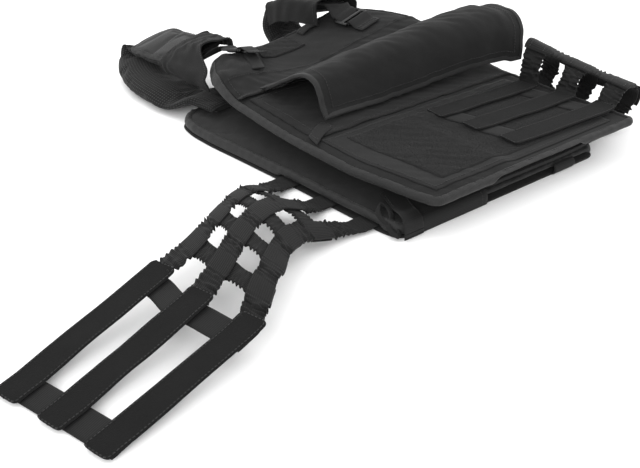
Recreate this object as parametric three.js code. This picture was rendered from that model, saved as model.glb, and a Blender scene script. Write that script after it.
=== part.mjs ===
// A black plate carrier vest, folded and lying on its back panel.
// Millimetres, +Z up. The origin lies on the underside of the back panel, +Y points to the neck.
import * as THREE from 'three';

// Clearances and cloth thicknesses
const GAP = 0.3;
const LAYER_GAP = 0.4;
const CLOTH = 2.5;
const LINER_WALL = 3.5;
const FIELD_WALL = 1.6;
const PANEL_WALL = 2;
const FLAP_WALL = 3;
const WEBBING_WIDTH = 25;
const WEBBING_WALL = 2;

// Back panel, measured from the origin on its underside
const BACK_WIDTH = 300;
const BACK_BELOW = 182;
const BACK_ABOVE = 192;
const BACK_RIM = 14;
const BACK_LINER_RIM = 11.5;
const BACK_CROWN = 20.5;
const BACK_BINDING = 9;
const BOTTOM_SLOT = 6;

// Slots in the back panel's sides, where the cummerbund rows go in
const SLOT_CENTRE_Y = -81;
const SLOT_PITCH = 59;
const SLOT_HEIGHT = 4.4;
const SLOT_MARGIN = 18;
const ROW_SEAT = 24;
const EDGE_RUN = 12;
const EDGE_REST = 6;

// Front panel, lying on the back panel and moved to the right and down
const FRONT_WIDTH = 310;
const FRONT_SHIFT_X = 28;
const FRONT_BELOW = 204;
const FRONT_ABOVE = 241;
const FRONT_TOP = 41;
const FRONT_BINDING = 7;
const NECK_LIFT = 6;
const EAR_LIFT = 28;
const EAR_SPREAD = 28;

// Flap on the front panel
const FLAP_WIDTH = 298;
const FLAP_LENGTH = 150;
const FLAP_LEFT_X = -93;
const FLAP_HINGE_Y = 106;

// Cummerbund
const SKELETON_LENGTH = 250;
const HUMP_HEIGHT = 42;
const ROW_WIDTH = 25;
const ROW_WALL = 3;
const COLUMN_GAP = 0.7;
const GATHER_WIDTH = 3;
const GATHER_WALL = 2.6;
const GATHER_CREST = 1;
const GATHER_DIP = -0.6;
const HOOK_LENGTH = 156;
const HOOK_WIDTH = 27;
const HOOK_WALL = 3;
const HOOK_OVERHANG = 4;
const HOOK_BAND_HALF = HOOK_WIDTH * 0.42;
const ROW_END_GAP = 3;
const HOOK_PITCH = 49.5;
const LEFT_HOOK_TURN = 13;
const LEFT_HOOK_REST = 0.4;
const LOOP_REACH = 94;
const LOOP_CREST = 88;
const RIGHT_HOOK_X = 21;
const RIGHT_HOOK_Y = -109;
const RIGHT_HOOK_LENGTH = 148;
const RIGHT_HOOK_TURN = -3.5;
const RIGHT_HOOK_STAGGER = 7;

// Shoulders
const PAD_REACH = 196;
const LEFT_PAD_X = -119;
const LEFT_FOLD = 48;
const RIGHT_PAD_X = 92;
const RIGHT_FOLD = 74;
const PAD_WIDTH = 70;
const PAD_WALL = 11;
const PAD_RINGS = 28;
const SLEEVE_WALL = 2;
const SLEEVE_BULGE = 9;
const SLEEVE_MOUTH = 16;
const STRAP_WIDTH = 38;
const STRAP_WALL = 1.8;
const STRAP_START = 1.3;
const STRAP_LANDING = 1.4;
const STRAP_ARCH = 2;
const STRAP_CELLS = 8;
const BUCKLE_WIDTH = 44;
const BUCKLE_LENGTH = 26;
const BUCKLE_WALL = 3;
const BUCKLE_BAR = 4;
const BUCKLE_CORNER = 3;
const LEFT_BUCKLE = { x: -57, y: 205, turn: 30 };
const RIGHT_BUCKLE = { x: 116, y: 189, turn: 6 };

// Trim: the folded flap and the loop at the back's bottom edge, the pull tab and the cord clip
const EDGE_FLAP = [-130, -30];
const EDGE_LOOP = [75, 107];
const EDGE_FLAP_REACH = 44;
const EDGE_LOOP_BULGE = 2.4;
const TAB_WIDTH = 20;
const TAB_LIFT = 1.6;
const CLIP_LEFT_X = 54;
const CLIP_PITCH = 7;
const CLIP_Y = 221;

const vector = (x, y, z) => new THREE.Vector3(x, y, z);
const mix = THREE.MathUtils.lerp;
const rise = (from, to, at) => THREE.MathUtils.smoothstep(at, from, to);
const table = (names, rows) => rows.map((row) => (
  Object.fromEntries(names.map((name, k) => [name, row[k]]))));
const radians = THREE.MathUtils.degToRad;
const steps = (count) => Array.from({ length: count + 1 }, (_, k) => k / count);

// Closes a list of points and triangles into a geometry whose faces point out.
function solid(points, triangles) {
  let volume = 0;
  for (const [a, b, c] of triangles) {
    volume += points[a].dot(new THREE.Vector3().crossVectors(points[b], points[c]));
  }
  const turned = volume < 0 ? triangles.map(([a, b, c]) => [a, c, b]) : triangles;
  const geometry = new THREE.BufferGeometry();
  const numbers = points.flatMap((point) => point.toArray());
  geometry.setAttribute('position', new THREE.Float32BufferAttribute(numbers, 3));
  geometry.setIndex(turned.flat());
  geometry.computeVertexNormals();
  return geometry;
}

// A sheet on a grid of columns and rows: upper(i, j) and lower(i, j) give its two faces.
function slab(columns, rows, upper, lower) {
  const points = [];
  const across = columns + 1;
  const count = across * (rows + 1);
  for (const face of [upper, lower]) {
    for (let j = 0; j <= rows; j++) {
      for (let i = 0; i <= columns; i++) points.push(face(i, j));
    }
  }
  const at = (i, j) => j * across + i;
  const triangles = [];
  const quad = (a, b, c, d) => triangles.push([a, b, c], [a, c, d]);
  for (let j = 0; j < rows; j++) {
    for (let i = 0; i < columns; i++) {
      const corners = [at(i, j), at(i + 1, j), at(i + 1, j + 1), at(i, j + 1)];
      quad(...corners);
      const [a, b, c, d] = corners.map((corner) => corner + count);
      triangles.push([a, c, b], [a, d, c]);
    }
  }
  const rim = [];
  for (let i = 0; i < columns; i++) rim.push(at(i, 0));
  for (let j = 0; j < rows; j++) rim.push(at(columns, j));
  for (let i = columns; i > 0; i--) rim.push(at(i, rows));
  for (let j = rows; j > 0; j--) rim.push(at(0, j));
  rim.forEach((a, k) => {
    const b = rim[(k + 1) % rim.length];
    quad(a, a + count, b + count, b);
  });
  return solid(points, triangles);
}

// A body through rings of points. An open one is closed by caps that join a ring's two halves.
function loft(rings, closed = false) {
  const size = rings[0].length;
  const points = rings.flat();
  const triangles = [];
  const spans = closed ? rings.length : rings.length - 1;
  for (let k = 0; k < spans; k++) {
    const a = k * size;
    const b = ((k + 1) % rings.length) * size;
    for (let i = 0; i < size; i++) {
      const j = (i + 1) % size;
      triangles.push([a + i, a + j, b + j], [a + i, b + j, b + i]);
    }
  }
  if (!closed) {
    const last = (rings.length - 1) * size;
    for (let i = 0; i < size / 2 - 1; i++) {
      const [p, q, r, s] = [i, i + 1, size - 2 - i, size - 1 - i];
      triangles.push([p, r, q], [p, s, r]);
      triangles.push([last + p, last + q, last + r], [last + p, last + r, last + s]);
    }
  }
  return solid(points, triangles);
}

// Finishes: cloth, pile and webbing are all black, and differ in how light they look and in gloss.
const finishes = {
  cloth: { color: 0x2b2b2d, roughness: 0.86, metalness: 0 },
  liner: { color: 0x262628, roughness: 0.95, metalness: 0 },
  binding: { color: 0x39393b, roughness: 0.7, metalness: 0 },
  pile: { color: 0x242426, roughness: 1, metalness: 0 },
  webbing: { color: 0x343437, roughness: 0.7, metalness: 0 },
  elastic: { color: 0x2e2e30, roughness: 0.8, metalness: 0 },
  padding: { color: 0x3a3a3d, roughness: 0.75, metalness: 0 },
  plastic: { color: 0x1c1c1e, roughness: 0.45, metalness: 0 },
};

const group = new THREE.Group();
function add(name, finish, geometry) {
  const mesh = new THREE.Mesh(geometry, new THREE.MeshStandardMaterial(finishes[finish]));
  mesh.name = name;
  group.add(mesh);
}

// A panel's plan is a grid between its left and right edges. at(i, j, inset) is a point of it,
// moved in from the edge, and around() goes once round its edge.
function panel(sections, shares, width, centreX, below, above) {
  const rows = sections.length - 1;
  const columns = shares.length - 1;
  const edge = (side) => sections.map((section) => (
    new THREE.Vector2(centreX + section[side] * width / 2, mix(-below, above, section.up))));
  const edges = { left: edge('left'), right: edge('right') };
  const inward = (points, j, inset, sign) => {
    const along = points[Math.min(j + 1, rows)].clone().sub(points[Math.max(j - 1, 0)]).normalize();
    const into = new THREE.Vector2(along.y, -along.x).multiplyScalar(sign * inset);
    const point = points[j].clone().add(into);
    if (j === 0) point.y = points[0].y + inset;
    if (j === rows) point.y = points[rows].y - inset;
    return point;
  };
  const at = (i, j, inset = 0) => (
    inward(edges.left, j, inset, 1).lerp(inward(edges.right, j, inset, -1), shares[i]));
  const around = () => {
    const rim = [];
    for (let j = 0; j < rows; j++) rim.push([0, j]);
    for (let i = 0; i < columns; i++) rim.push([i, rows]);
    for (let j = rows; j > 0; j--) rim.push([columns, j]);
    for (let i = columns; i > 0; i--) rim.push([i, 0]);
    return rim;
  };
  return { rows, columns, at, around, shares, sections };
}

const slotReach = SLOT_PITCH + SLOT_MARGIN;
const slotShare = (end) => (BACK_BELOW + SLOT_CENTRE_Y + end * slotReach) / (BACK_BELOW + BACK_ABOVE);
const SLOT_RAMP = 0.03;

// Back panel: its edges widen slowly to the top, where the corners are cut round. Its sections
// start and end the side slots.
const backPlan = panel(
  table(['up', 'left', 'right'], [
    [0, -0.98, 1],
    [slotShare(-1) - SLOT_RAMP, -1.01, 1.01],
    [slotShare(-1), -1.015, 1.01],
    [0.14, -1.02, 1.015],
    [0.23, -1.03, 1.02],
    [0.33, -1.035, 1.025],
    [slotShare(1), -1.05, 1.037],
    [slotShare(1) + SLOT_RAMP, -1.053, 1.04],
    [0.66, -1.075, 1.05],
    [0.8, -1.095, 1.06],
    [0.9, -1.085, 1.06],
    [0.96, -1.04, 1.02],
    [1, -0.92, 0.92],
  ]),
  [0, 0.05, 0.14, 0.26, 0.42, 0.58, 0.74, 0.86, 0.95, 1],
  BACK_WIDTH, 0, BACK_BELOW, BACK_ABOVE,
);
const inSlot = (x, y) => Math.abs(x) > BACK_WIDTH * 0.4 && Math.abs(y - SLOT_CENTRE_Y) < slotReach + GAP;

function backHeight(x, y) {
  const side = 1 - rise(0.55, 1, Math.abs(x) / (BACK_WIDTH / 2));
  const end = 1 - rise(0.55, 1, y > 0 ? y / BACK_ABOVE : -y / BACK_BELOW);
  return mix(BACK_LINER_RIM, BACK_CROWN, side * end);
}

function backFace() {
  const face = (z) => (i, j) => {
    const { x, y } = backPlan.at(i, j);
    return vector(x, y, z);
  };
  return slab(backPlan.columns, backPlan.rows, face(CLOTH), face(0));
}

function backLiner() {
  const inset = BACK_BINDING + GAP;
  const face = (depth) => (i, j) => {
    const { x, y } = backPlan.at(i, j, inset);
    return vector(x, y, backHeight(x, y) - depth);
  };
  return slab(backPlan.columns, backPlan.rows, face(0), face(LINER_WALL));
}

// The rolled edge sits on the face, and is raised over the side slots and the open bottom.
function backBinding() {
  const section = table(['inset', 'up'], [
    [0.12, 0], [0, 0.45], [0.2, 0.85], [0.55, 1], [1, 0.8], [1, 0],
  ]);
  const rings = backPlan.around().map(([i, j]) => {
    const edge = backPlan.at(i, j);
    const raised = inSlot(edge.x, edge.y) ? SLOT_HEIGHT : GAP;
    const foot = CLOTH + (j === 0 && i > 2 ? BOTTOM_SLOT : raised);
    return section.map(({ inset, up }) => {
      const { x, y } = backPlan.at(i, j, inset * BACK_BINDING);
      return vector(x, y, mix(foot, BACK_RIM, up));
    });
  });
  return loft(rings, true);
}

// The front panel bulges to its upper right corner, which stands on the folded right strap.
const frontHeight = (x, y) => (
  FRONT_TOP + NECK_LIFT * rise(-0.2, 0.85, y / FRONT_ABOVE)
  + EAR_LIFT * rise(-0.08, 0.72, y / FRONT_ABOVE)
  * rise(-0.02, 0.92, (x - FRONT_SHIFT_X + EAR_SPREAD) / (FRONT_WIDTH / 2 + EAR_SPREAD)));

const frontPlan = panel(
  table(['up', 'left', 'right'], [
    [0, -0.974, 1.026],
    [0.034, -1, 1.03],
    [0.12, -1.04, 1.035],
    [0.21, -1.084, 1.04],
    [0.3, -1.09, 1.045],
    [0.378, -1.088, 1.045],
    [0.396, -1.086, 1.045],
    [0.47, -1.08, 1.045],
    [0.55, -1.07, 1.045],
    [0.62, -1.055, 1.045],
    [0.676, -1.045, 1.04],
    [0.686, -1.04, 1.04],
    [0.73, -1.03, 1.035],
    [0.773, -1.01, 1.015],
    [0.83, -0.965, 0.97],
    [0.881, -0.885, 0.89],
    [0.935, -0.775, 0.79],
    [0.985, -0.65, 0.66],
    [1, -0.59, 0.6],
  ]),
  [0, 0.03, 0.12, 0.27, 0.36, 0.48, 0.6, 0.72, 0.84, 0.93, 1],
  FRONT_WIDTH, FRONT_SHIFT_X, FRONT_BELOW, FRONT_ABOVE,
);
const FRONT_LINES = { field: [1, 5], middle: [6, 10], upper: [11, 13], top: [15, 17] };
const frontInset = FRONT_BINDING + GAP;

// A layer of the front panel over part of its grid, between two heights above the face.
function frontLayer([left, right], [bottom, top], from, to) {
  const face = (up) => (i, j) => {
    const { x, y } = frontPlan.at(left + i, bottom + j, frontInset);
    return vector(x, y, frontHeight(x, y) + up);
  };
  return slab(right - left, top - bottom, face(to), face(from));
}

// How far the liner hangs below the face, from nothing at the edge to full in the middle.
function frontBulge(i, j) {
  const u = Math.abs(2 * frontPlan.shares[i] - 1);
  const v = 2 * frontPlan.sections[j].up - 1;
  const across = 1 - rise(0.35, 1, u);
  const along = v < 0 ? mix(1, 0.5, rise(0.6, 1, -v)) : 1 - rise(0.35, 1, v);
  return across * along;
}

function frontLiner() {
  const rim = CLOTH + GAP + LINER_WALL;
  const face = (wall) => (i, j) => {
    const { x, y } = frontPlan.at(i, j, frontInset);
    const deepest = FRONT_TOP - rim - backHeight(0, 0) - LAYER_GAP;
    return vector(x, y, frontHeight(x, y) - rim - deepest * frontBulge(i, j) + wall);
  };
  return slab(frontPlan.columns, frontPlan.rows, face(LINER_WALL), face(0));
}

// The binding reaches down over the liner's edge, except along the bottom, where the pocket opens.
function frontBinding() {
  const section = table(['inset', 'side', 'mouth'], [
    [0.1, -0.6, -0.6], [0, 0.1, 0.1], [0.3, 1.5, 1.5], [0.8, 1.6, 1.6], [1, 0.6, 0.6], [1, -5.6, -2.6],
  ]);
  const rings = frontPlan.around().map(([i, j]) => {
    const edge = frontPlan.at(i, j, FRONT_BINDING);
    const part = j === 0 && i > 0 && i < frontPlan.columns ? 'mouth' : 'side';
    return section.map((row) => {
      const { x, y } = frontPlan.at(i, j, row.inset * FRONT_BINDING);
      return vector(x, y, frontHeight(edge.x, edge.y) + row[part]);
    });
  });
  return loft(rings, true);
}

add('back_face', 'cloth', backFace());
add('back_liner', 'liner', backLiner());
add('back_binding', 'binding', backBinding());
add('front_liner', 'liner', frontLiner());
add('front_face', 'cloth', frontLayer([0, frontPlan.columns], [0, frontPlan.rows], -CLOTH, 0));
add('front_binding', 'binding', frontBinding());
const wide = frontPlan.columns;
add('front_upper_panel', 'cloth', frontLayer([0, wide], FRONT_LINES.upper, GAP, GAP + PANEL_WALL));
add('front_middle_panel', 'cloth', frontLayer([1, wide], FRONT_LINES.middle, GAP, GAP + PANEL_WALL));
add('front_lower_field', 'pile', frontLayer([1, wide - 1], FRONT_LINES.field, GAP, GAP + FIELD_WALL));
add('front_top_field', 'pile', frontLayer([3, 6], FRONT_LINES.top, GAP, GAP + FIELD_WALL));

// Flap: profiles from the hinge to the free edge at its left end, a third of the way and at its
// right end. They are shares of its length, down from the hinge and up from the panel.
const flapNames = ['down', 'up'];
const flapProfiles = table(['at', 'hinge', 'profile'], [
  [0, 0, table(flapNames, [
    [0, 0], [0.07, 0.03], [0.18, 0.12], [0.34, 0.225], [0.5, 0.287], [0.6, 0.267], [0.645, 0.17],
    [0.675, 0.06], [0.71, 0],
  ])],
  [0.34, 0, table(flapNames, [
    [0, 0], [0.07, 0.05], [0.19, 0.17], [0.37, 0.29], [0.54, 0.35], [0.65, 0.31], [0.705, 0.19],
    [0.73, 0.07], [0.74, -0.01],
  ])],
  [1, -0.07, table(flapNames, [
    [0, 0], [0.07, 0.07], [0.2, 0.17], [0.42, 0.29], [0.56, 0.3], [0.69, 0.275], [0.77, 0.18],
    [0.785, 0.05], [0.785, -0.075],
  ])],
]);

function flapOuter(share, k) {
  const after = Math.max(1, flapProfiles.findIndex((section) => section.at >= share));
  const [a, b] = [flapProfiles[after - 1], flapProfiles[after]];
  const blend = (share - a.at) / (b.at - a.at);
  const x = FLAP_LEFT_X + share * FLAP_WIDTH;
  const hinge = FLAP_HINGE_Y + mix(a.hinge, b.hinge, blend) * FLAP_LENGTH;
  const down = mix(a.profile[k].down, b.profile[k].down, blend) * FLAP_LENGTH;
  const up = mix(a.profile[k].up, b.profile[k].up, blend) * FLAP_LENGTH;
  const seat = frontHeight(x, hinge) + GAP + PANEL_WALL + LAYER_GAP + FLAP_WALL;
  return vector(x, hinge - down, seat + up);
}

function frontFlap() {
  const last = flapProfiles[0].profile.length - 1;
  const shares = steps(10);
  const outer = (i, j) => flapOuter(shares[i], j);
  const inner = (i, j) => {
    if (j === 0) return outer(i, j).add(vector(0, 0, -FLAP_WALL));
    const along = outer(i, Math.min(j + 1, last)).sub(outer(i, j - 1));
    return outer(i, j).addScaledVector(vector(0, -along.z, along.y).normalize(), FLAP_WALL);
  };
  return slab(shares.length - 1, last, outer, inner);
}
add('front_flap', 'cloth', frontFlap());

// Cummerbund. A net is three rows at t = -1, 0 and 1; a point of it is set by the share s of the
// rows' length and by t across them. Rows and columns all lie on this one surface.
function net(rows, flip) {
  const curves = rows.map((points) => new THREE.CatmullRomCurve3(points, false, 'centripetal'));
  curves.forEach((curve) => { curve.arcLengthDivisions = 400; });
  const point = (s, t) => {
    const [first, middle, last] = curves.map((curve) => curve.getPointAt(THREE.MathUtils.clamp(s, 0, 1)));
    const slope = last.clone().sub(first).multiplyScalar(0.5);
    const bend = last.clone().add(first).multiplyScalar(0.5).sub(middle);
    return middle.addScaledVector(slope, t).addScaledVector(bend, t * t);
  };
  const step = 0.004;
  const across = (s, t) => point(s, t + step).sub(point(s, t - step)).multiplyScalar(0.5 / step);
  const normal = (s, t) => {
    const along = point(Math.min(s + step, 1), t).sub(point(Math.max(s - step, 0), t));
    return along.cross(across(s, t)).normalize().multiplyScalar(flip);
  };
  return { point, across, normal, length: curves[1].getLength() };
}

// One elastic row: flat where it enters the panel and under the columns, gathered in between.
function elasticRow(surface, t, columns, gatherFrom, gatherTo, gathers) {
  const half = WEBBING_WIDTH / 2 / surface.length;
  const flat = (ROW_SEAT + EDGE_RUN) / surface.length;
  const stations = [0, flat, mix(flat, gatherFrom, 0.3), mix(flat, gatherFrom, 0.65), gatherFrom]
    .map((at) => [at, 0]);
  const stops = columns.filter((column) => column > gatherFrom);
  let from = gatherFrom;
  for (const column of [...stops, gatherTo + half]) {
    const to = column - half;
    for (let k = 1; k < gathers; k++) {
      stations.push([mix(from, to, k / gathers), k % 2 ? GATHER_CREST : GATHER_DIP]);
    }
    if (column < gatherTo) {
      stations.push([to, 0], [column, 0], [column + half, 0]);
    }
    from = column + half;
  }
  stations.push([gatherTo, 0]);
  if (gatherTo < 1) stations.push([mix(gatherTo, 1, 0.35), 0], [mix(gatherTo, 1, 0.7), 0], [1, 0]);
  return loft(stations.map(([s, gather]) => {
    const width = ROW_WIDTH / 2 + gather * GATHER_WIDTH;
    const reach = width / surface.across(s, t).length();
    const wall = ROW_WALL / 2 + Math.max(0, gather) * GATHER_WALL / 2;
    const lip = ROW_WALL / 3;
    const edge = ([side, up]) => (
      surface.point(s, t + side * reach).addScaledVector(surface.normal(s, t), up));
    return [[-1, -lip], [-0.5, -wall], [0.5, -wall], [1, -lip],
      [1, lip], [0.5, wall], [-0.5, wall], [-1, lip]].map(edge);
  }));
}

// A flat band across the three rows, on their outer side.
function column(surface, s) {
  const half = WEBBING_WIDTH / 2 / surface.length;
  const stations = [-1.26, -0.95, -0.6, -0.3, 0, 0.3, 0.6, 0.95, 1.26];
  const face = (up) => (i, j) => {
    const [at, t] = [s + (j - 1) * half, stations[i]];
    return surface.point(at, t).addScaledVector(surface.normal(at, t), up);
  };
  const seat = ROW_WALL / 2 + COLUMN_GAP;
  return slab(stations.length - 1, 2, face(seat + WEBBING_WALL), face(seat));
}

// A flat band along points. side(j) is the direction of its width at each point.
function band(points, side, width, wall, cells = 1) {
  const face = (up) => (i, j) => {
    const half = side(j).clone().normalize().multiplyScalar(width / 2);
    const along = points[Math.min(j + 1, points.length - 1)].clone().sub(points[Math.max(j - 1, 0)]);
    const over = new THREE.Vector3().crossVectors(along, half).normalize();
    if (over.z < 0) over.negate();
    return points[j].clone().addScaledVector(half, 2 * i / cells - 1).addScaledVector(over, up);
  };
  return slab(cells, points.length - 1, face(wall / 2), face(-wall / 2));
}

// Left cummerbund, laid out: shares of the skeleton's length out from the slot and down, and of
// the hump's height.
const leftColumns = ['out', 'down', 'lift'];
const leftRows = [
  table(leftColumns, [[0.12, 0.025, 0.2], [0.2, 0.06, 0.4], [0.3, 0.115, 0.71], [0.425, 0.19, 0.93],
    [0.6, 0.3, 1], [0.76, 0.392, 0.93], [0.912, 0.424, 0.74]]),
  table(leftColumns, [[0.12, 0.025, 0.22], [0.2, 0.045, 0.47], [0.325, 0.075, 0.84], [0.45, 0.125, 1],
    [0.6, 0.215, 1.02], [0.752, 0.325, 0.93], [0.9, 0.4, 0.71]]),
  table(leftColumns, [[0.12, -0.004, 0.17], [0.224, 0, 0.36], [0.34, 0.012, 0.6], [0.45, 0.056, 0.74],
    [0.59, 0.165, 0.82], [0.7, 0.25, 0.81], [0.85, 0.376, 0.64]]),
];
const LEFT_COLUMN_SHARES = [0.34, 0.5, 0.66, 0.84];
const seatHeight = CLOTH + GAP + ROW_WALL / 2;
const slotY = (row) => SLOT_CENTRE_Y + (1 - row) * SLOT_PITCH;

const leftPaths = leftRows.map((rows, row) => [
  vector(-BACK_WIDTH / 2 + ROW_SEAT, slotY(row), seatHeight),
  vector(-BACK_WIDTH / 2 - EDGE_RUN, slotY(row), seatHeight),
  vector(-BACK_WIDTH / 2 - EDGE_RUN - EDGE_REST, slotY(row), seatHeight),
  ...rows.map(({ out, down, lift }) => vector(
    -BACK_WIDTH / 2 - out * SKELETON_LENGTH, slotY(row) - down * SKELETON_LENGTH, lift * HUMP_HEIGHT)),
]);
const leftNet = net(leftPaths, -1);

const leftTurn = radians(LEFT_HOOK_TURN);
const leftAlong = vector(-Math.cos(leftTurn), -Math.sin(leftTurn), 0);
const leftAcross = vector(Math.sin(leftTurn), -Math.cos(leftTurn), 0);
const leftInner = leftPaths.map((path) => path.at(-1));
const bandUnder = HOOK_WALL / 2 + GAP + WEBBING_WALL / 2;
const leftOuter = leftInner.map((_, row) => {
  const end = leftInner[1].clone().addScaledVector(leftAlong, HOOK_LENGTH);
  end.addScaledVector(leftAcross, (row - 1) * HOOK_PITCH);
  end.z = LEFT_HOOK_REST + bandUnder + WEBBING_WALL / 2;
  return end;
});

// Three strips of hook tape and the two bands under them, which hold them apart.
function hookSection(name, inner, outer, across, below) {
  const towards = inner.map((end, row) => outer[row].clone().sub(end).normalize());
  inner.forEach((end, row) => {
    const start = end.clone().addScaledVector(towards[row], ROW_END_GAP);
    const path = steps(3).map((share) => start.clone().lerp(outer[row], share));
    add(`${name}_hook_strip_${row + 1}`, 'pile', band(path, () => across, HOOK_WIDTH, HOOK_WALL));
  });
  const inset = WEBBING_WIDTH / 2;
  const places = [
    inner.map((end, row) => end.clone().addScaledVector(towards[row], inset + ROW_END_GAP / 3)),
    outer.map((end, row) => end.clone().addScaledVector(towards[row], -inset - HOOK_OVERHANG)),
  ];
  places.forEach((place, k) => {
    const path = place.flatMap((end, row) => {
      const up = new THREE.Vector3().crossVectors(towards[row], across).normalize();
      up.multiplyScalar(-Math.sign(up.z) * (bandUnder + below));
      return [-1, 1].map((sign) => end.clone().add(up).addScaledVector(across, sign * HOOK_BAND_HALF));
    });
    const geometry = band(path, () => towards[1], WEBBING_WIDTH, WEBBING_WALL);
    add(`${name}_cross_band_${k + 1}`, 'webbing', geometry);
  });
}

[-1, 0, 1].forEach((t, row) => {
  const geometry = elasticRow(leftNet, t, LEFT_COLUMN_SHARES, 0.26, 1, 6);
  add(`left_elastic_row_${row + 1}`, 'elastic', geometry);
});
LEFT_COLUMN_SHARES.forEach((share, k) => {
  add(`left_column_${k + 1}`, 'webbing', column(leftNet, share));
});
hookSection('left', leftInner, leftOuter, leftAcross, 0.2);

// Right cummerbund: out from the slot, up round the front panel's edge and down onto its pile field.
// Shares of the loop's reach, and of its crest for the lift of each row.
const loopProfile = table(['out', 'turn', 'top', 'middle', 'bottom'], [
  [0.32, 0.06, 0.07, 0.07, 0.07],
  [0.66, 0.16, 0.11, 0.11, 0.11],
  [0.9, 0.26, 0.23, 0.22, 0.22],
  [1, 0.36, 0.42, 0.4, 0.39],
  [0.96, 0.46, 0.62, 0.57, 0.54],
  [0.8, 0.6, 0.8, 0.72, 0.66],
  [0.58, 0.76, 0.94, 0.82, 0.72],
  [0.41, 0.88, 0.985, 0.8, 0.68],
  [0.31, 0.94, 0.88, 0.73, 0.61],
  [0.26, 0.97, 0.72, 0.63, 0.565],
]);
const RIGHT_COLUMN_SHARES = [0.2, 0.4, 0.62, 0.8];
const fieldTop = FRONT_TOP + GAP + FIELD_WALL;
const rightStripZ = fieldTop + LAYER_GAP + WEBBING_WALL + GAP + HOOK_WALL / 2;
const rightTurn = radians(RIGHT_HOOK_TURN);
const rightAlong = vector(Math.cos(rightTurn), Math.sin(rightTurn), 0);
const rightAcross = vector(Math.sin(rightTurn), -Math.cos(rightTurn), 0);
const rightOuter = [0, 1, 2].map((row) => vector(
  RIGHT_HOOK_X + (row - 1) * RIGHT_HOOK_STAGGER, RIGHT_HOOK_Y, rightStripZ,
).addScaledVector(rightAcross, (row - 1) * HOOK_PITCH));
const rightInner = rightOuter.map((end) => end.clone().addScaledVector(rightAlong, RIGHT_HOOK_LENGTH));

const rightPaths = [0, 1, 2].map((row) => {
  const lift = ['top', 'middle', 'bottom'][row];
  const shift = (row - 1) * RIGHT_HOOK_STAGGER;
  return [
    vector(BACK_WIDTH / 2 - ROW_SEAT, slotY(row), seatHeight),
    vector(BACK_WIDTH / 2 + EDGE_RUN, slotY(row), seatHeight),
    vector(BACK_WIDTH / 2 + EDGE_RUN + EDGE_REST, slotY(row), seatHeight),
    ...loopProfile.map((at) => vector(
      BACK_WIDTH / 2 + at.out * LOOP_REACH + shift * at.turn,
      mix(slotY(row), rightInner[row].y, at.turn), at[lift] * LOOP_CREST)),
    rightInner[row].clone(),
  ];
});
const rightNet = net(rightPaths, 1);
[-1, 0, 1].forEach((t, row) => {
  const geometry = elasticRow(rightNet, t, RIGHT_COLUMN_SHARES, 0.27, 0.86, 5);
  add(`right_elastic_row_${row + 1}`, 'elastic', geometry);
});
RIGHT_COLUMN_SHARES.forEach((share, k) => {
  add(`right_column_${k + 1}`, 'webbing', column(rightNet, share));
});
hookSection('right', rightInner, rightOuter, rightAcross, 0);

// Shoulder pads: centre line stations with the tilt of the pad's width, in degrees. Lengths are
// shares of the pad's reach beyond the back panel's top edge, and of its fold's height.
const padNames = ['side', 'beyond', 'lift', 'tilt'];
const leftPad = table(padNames, [
  [0.1, -0.2, 0.47, 0], [0.08, -0.05, 0.46, 0], [0.05, 0.03, 0.44, 0], [0, 0.15, 0.27, 2],
  [-0.02, 0.32, 0.2, 2], [-0.01, 0.55, 0.2, 2], [0.05, 0.75, 0.28, 2], [0.12, 0.88, 0.42, 4],
  [0.16, 0.93, 0.64, 8], [0.165, 0.88, 0.86, 12], [0.16, 0.76, 0.98, 15], [0.155, 0.6, 1.06, 16],
  [0.155, 0.42, 1.15, 16], [0.16, 0.24, 1.2, 15],
]);
const rightPad = table(padNames, [
  [0.08, -0.2, 0.305, 0], [0.08, -0.05, 0.3, 0], [0.08, 0.03, 0.285, 0], [0.08, 0.15, 0.18, -2],
  [0.09, 0.32, 0.13, -2], [0.1, 0.52, 0.14, -2], [0.1, 0.66, 0.22, -2], [0.1, 0.73, 0.42, -2],
  [0.1, 0.715, 0.64, -4], [0.1, 0.63, 0.86, -6], [0.1, 0.5, 0.99, -8], [0.1, 0.36, 1.07, -8],
  [0.11, 0.22, 1.12, -8],
]);

const padPath = (rows, x, fold) => rows.map(({ side, beyond, lift }) => (
  vector(x + side * PAD_REACH, BACK_ABOVE + beyond * PAD_REACH, lift * fold)));

// Rings of an oval section along a path whose width direction tilts from station to station.
function ribbon(path, tilts, section, count) {
  const curve = new THREE.CatmullRomCurve3(path, false, 'centripetal');
  curve.arcLengthDivisions = 300;
  return steps(count).map((share) => {
    const at = curve.getUtoTmapping(share) * (path.length - 1);
    const k = Math.min(Math.floor(at), path.length - 2);
    const tilt = radians(mix(tilts[k], tilts[k + 1], at - k));
    const along = curve.getTangentAt(share);
    const wide = vector(Math.cos(tilt), 0, Math.sin(tilt));
    wide.addScaledVector(along, -wide.dot(along)).normalize();
    const over = new THREE.Vector3().crossVectors(wide, along).normalize();
    const centre = curve.getPointAt(share);
    return section(share).map(([w, h]) => (
      centre.clone().addScaledVector(wide, w).addScaledVector(over, h)));
  });
}
const padSection = () => (
  [[-1, -0.4], [-0.8, -1], [0.8, -1], [1, -0.4], [1, 0.4], [0.8, 1], [-0.8, 1], [-1, 0.4]]
    .map(([w, h]) => [w * PAD_WIDTH / 2, h * PAD_WALL / 2]));
function addPad(name, rows, x, fold) {
  const rings = ribbon(padPath(rows, x, fold), rows.map((row) => row.tilt), padSection, PAD_RINGS);
  add(name, 'padding', loft(rings));
}
addPad('left_shoulder_pad', leftPad, LEFT_PAD_X, LEFT_FOLD);
addPad('right_shoulder_pad', rightPad, RIGHT_PAD_X, RIGHT_FOLD);

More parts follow.
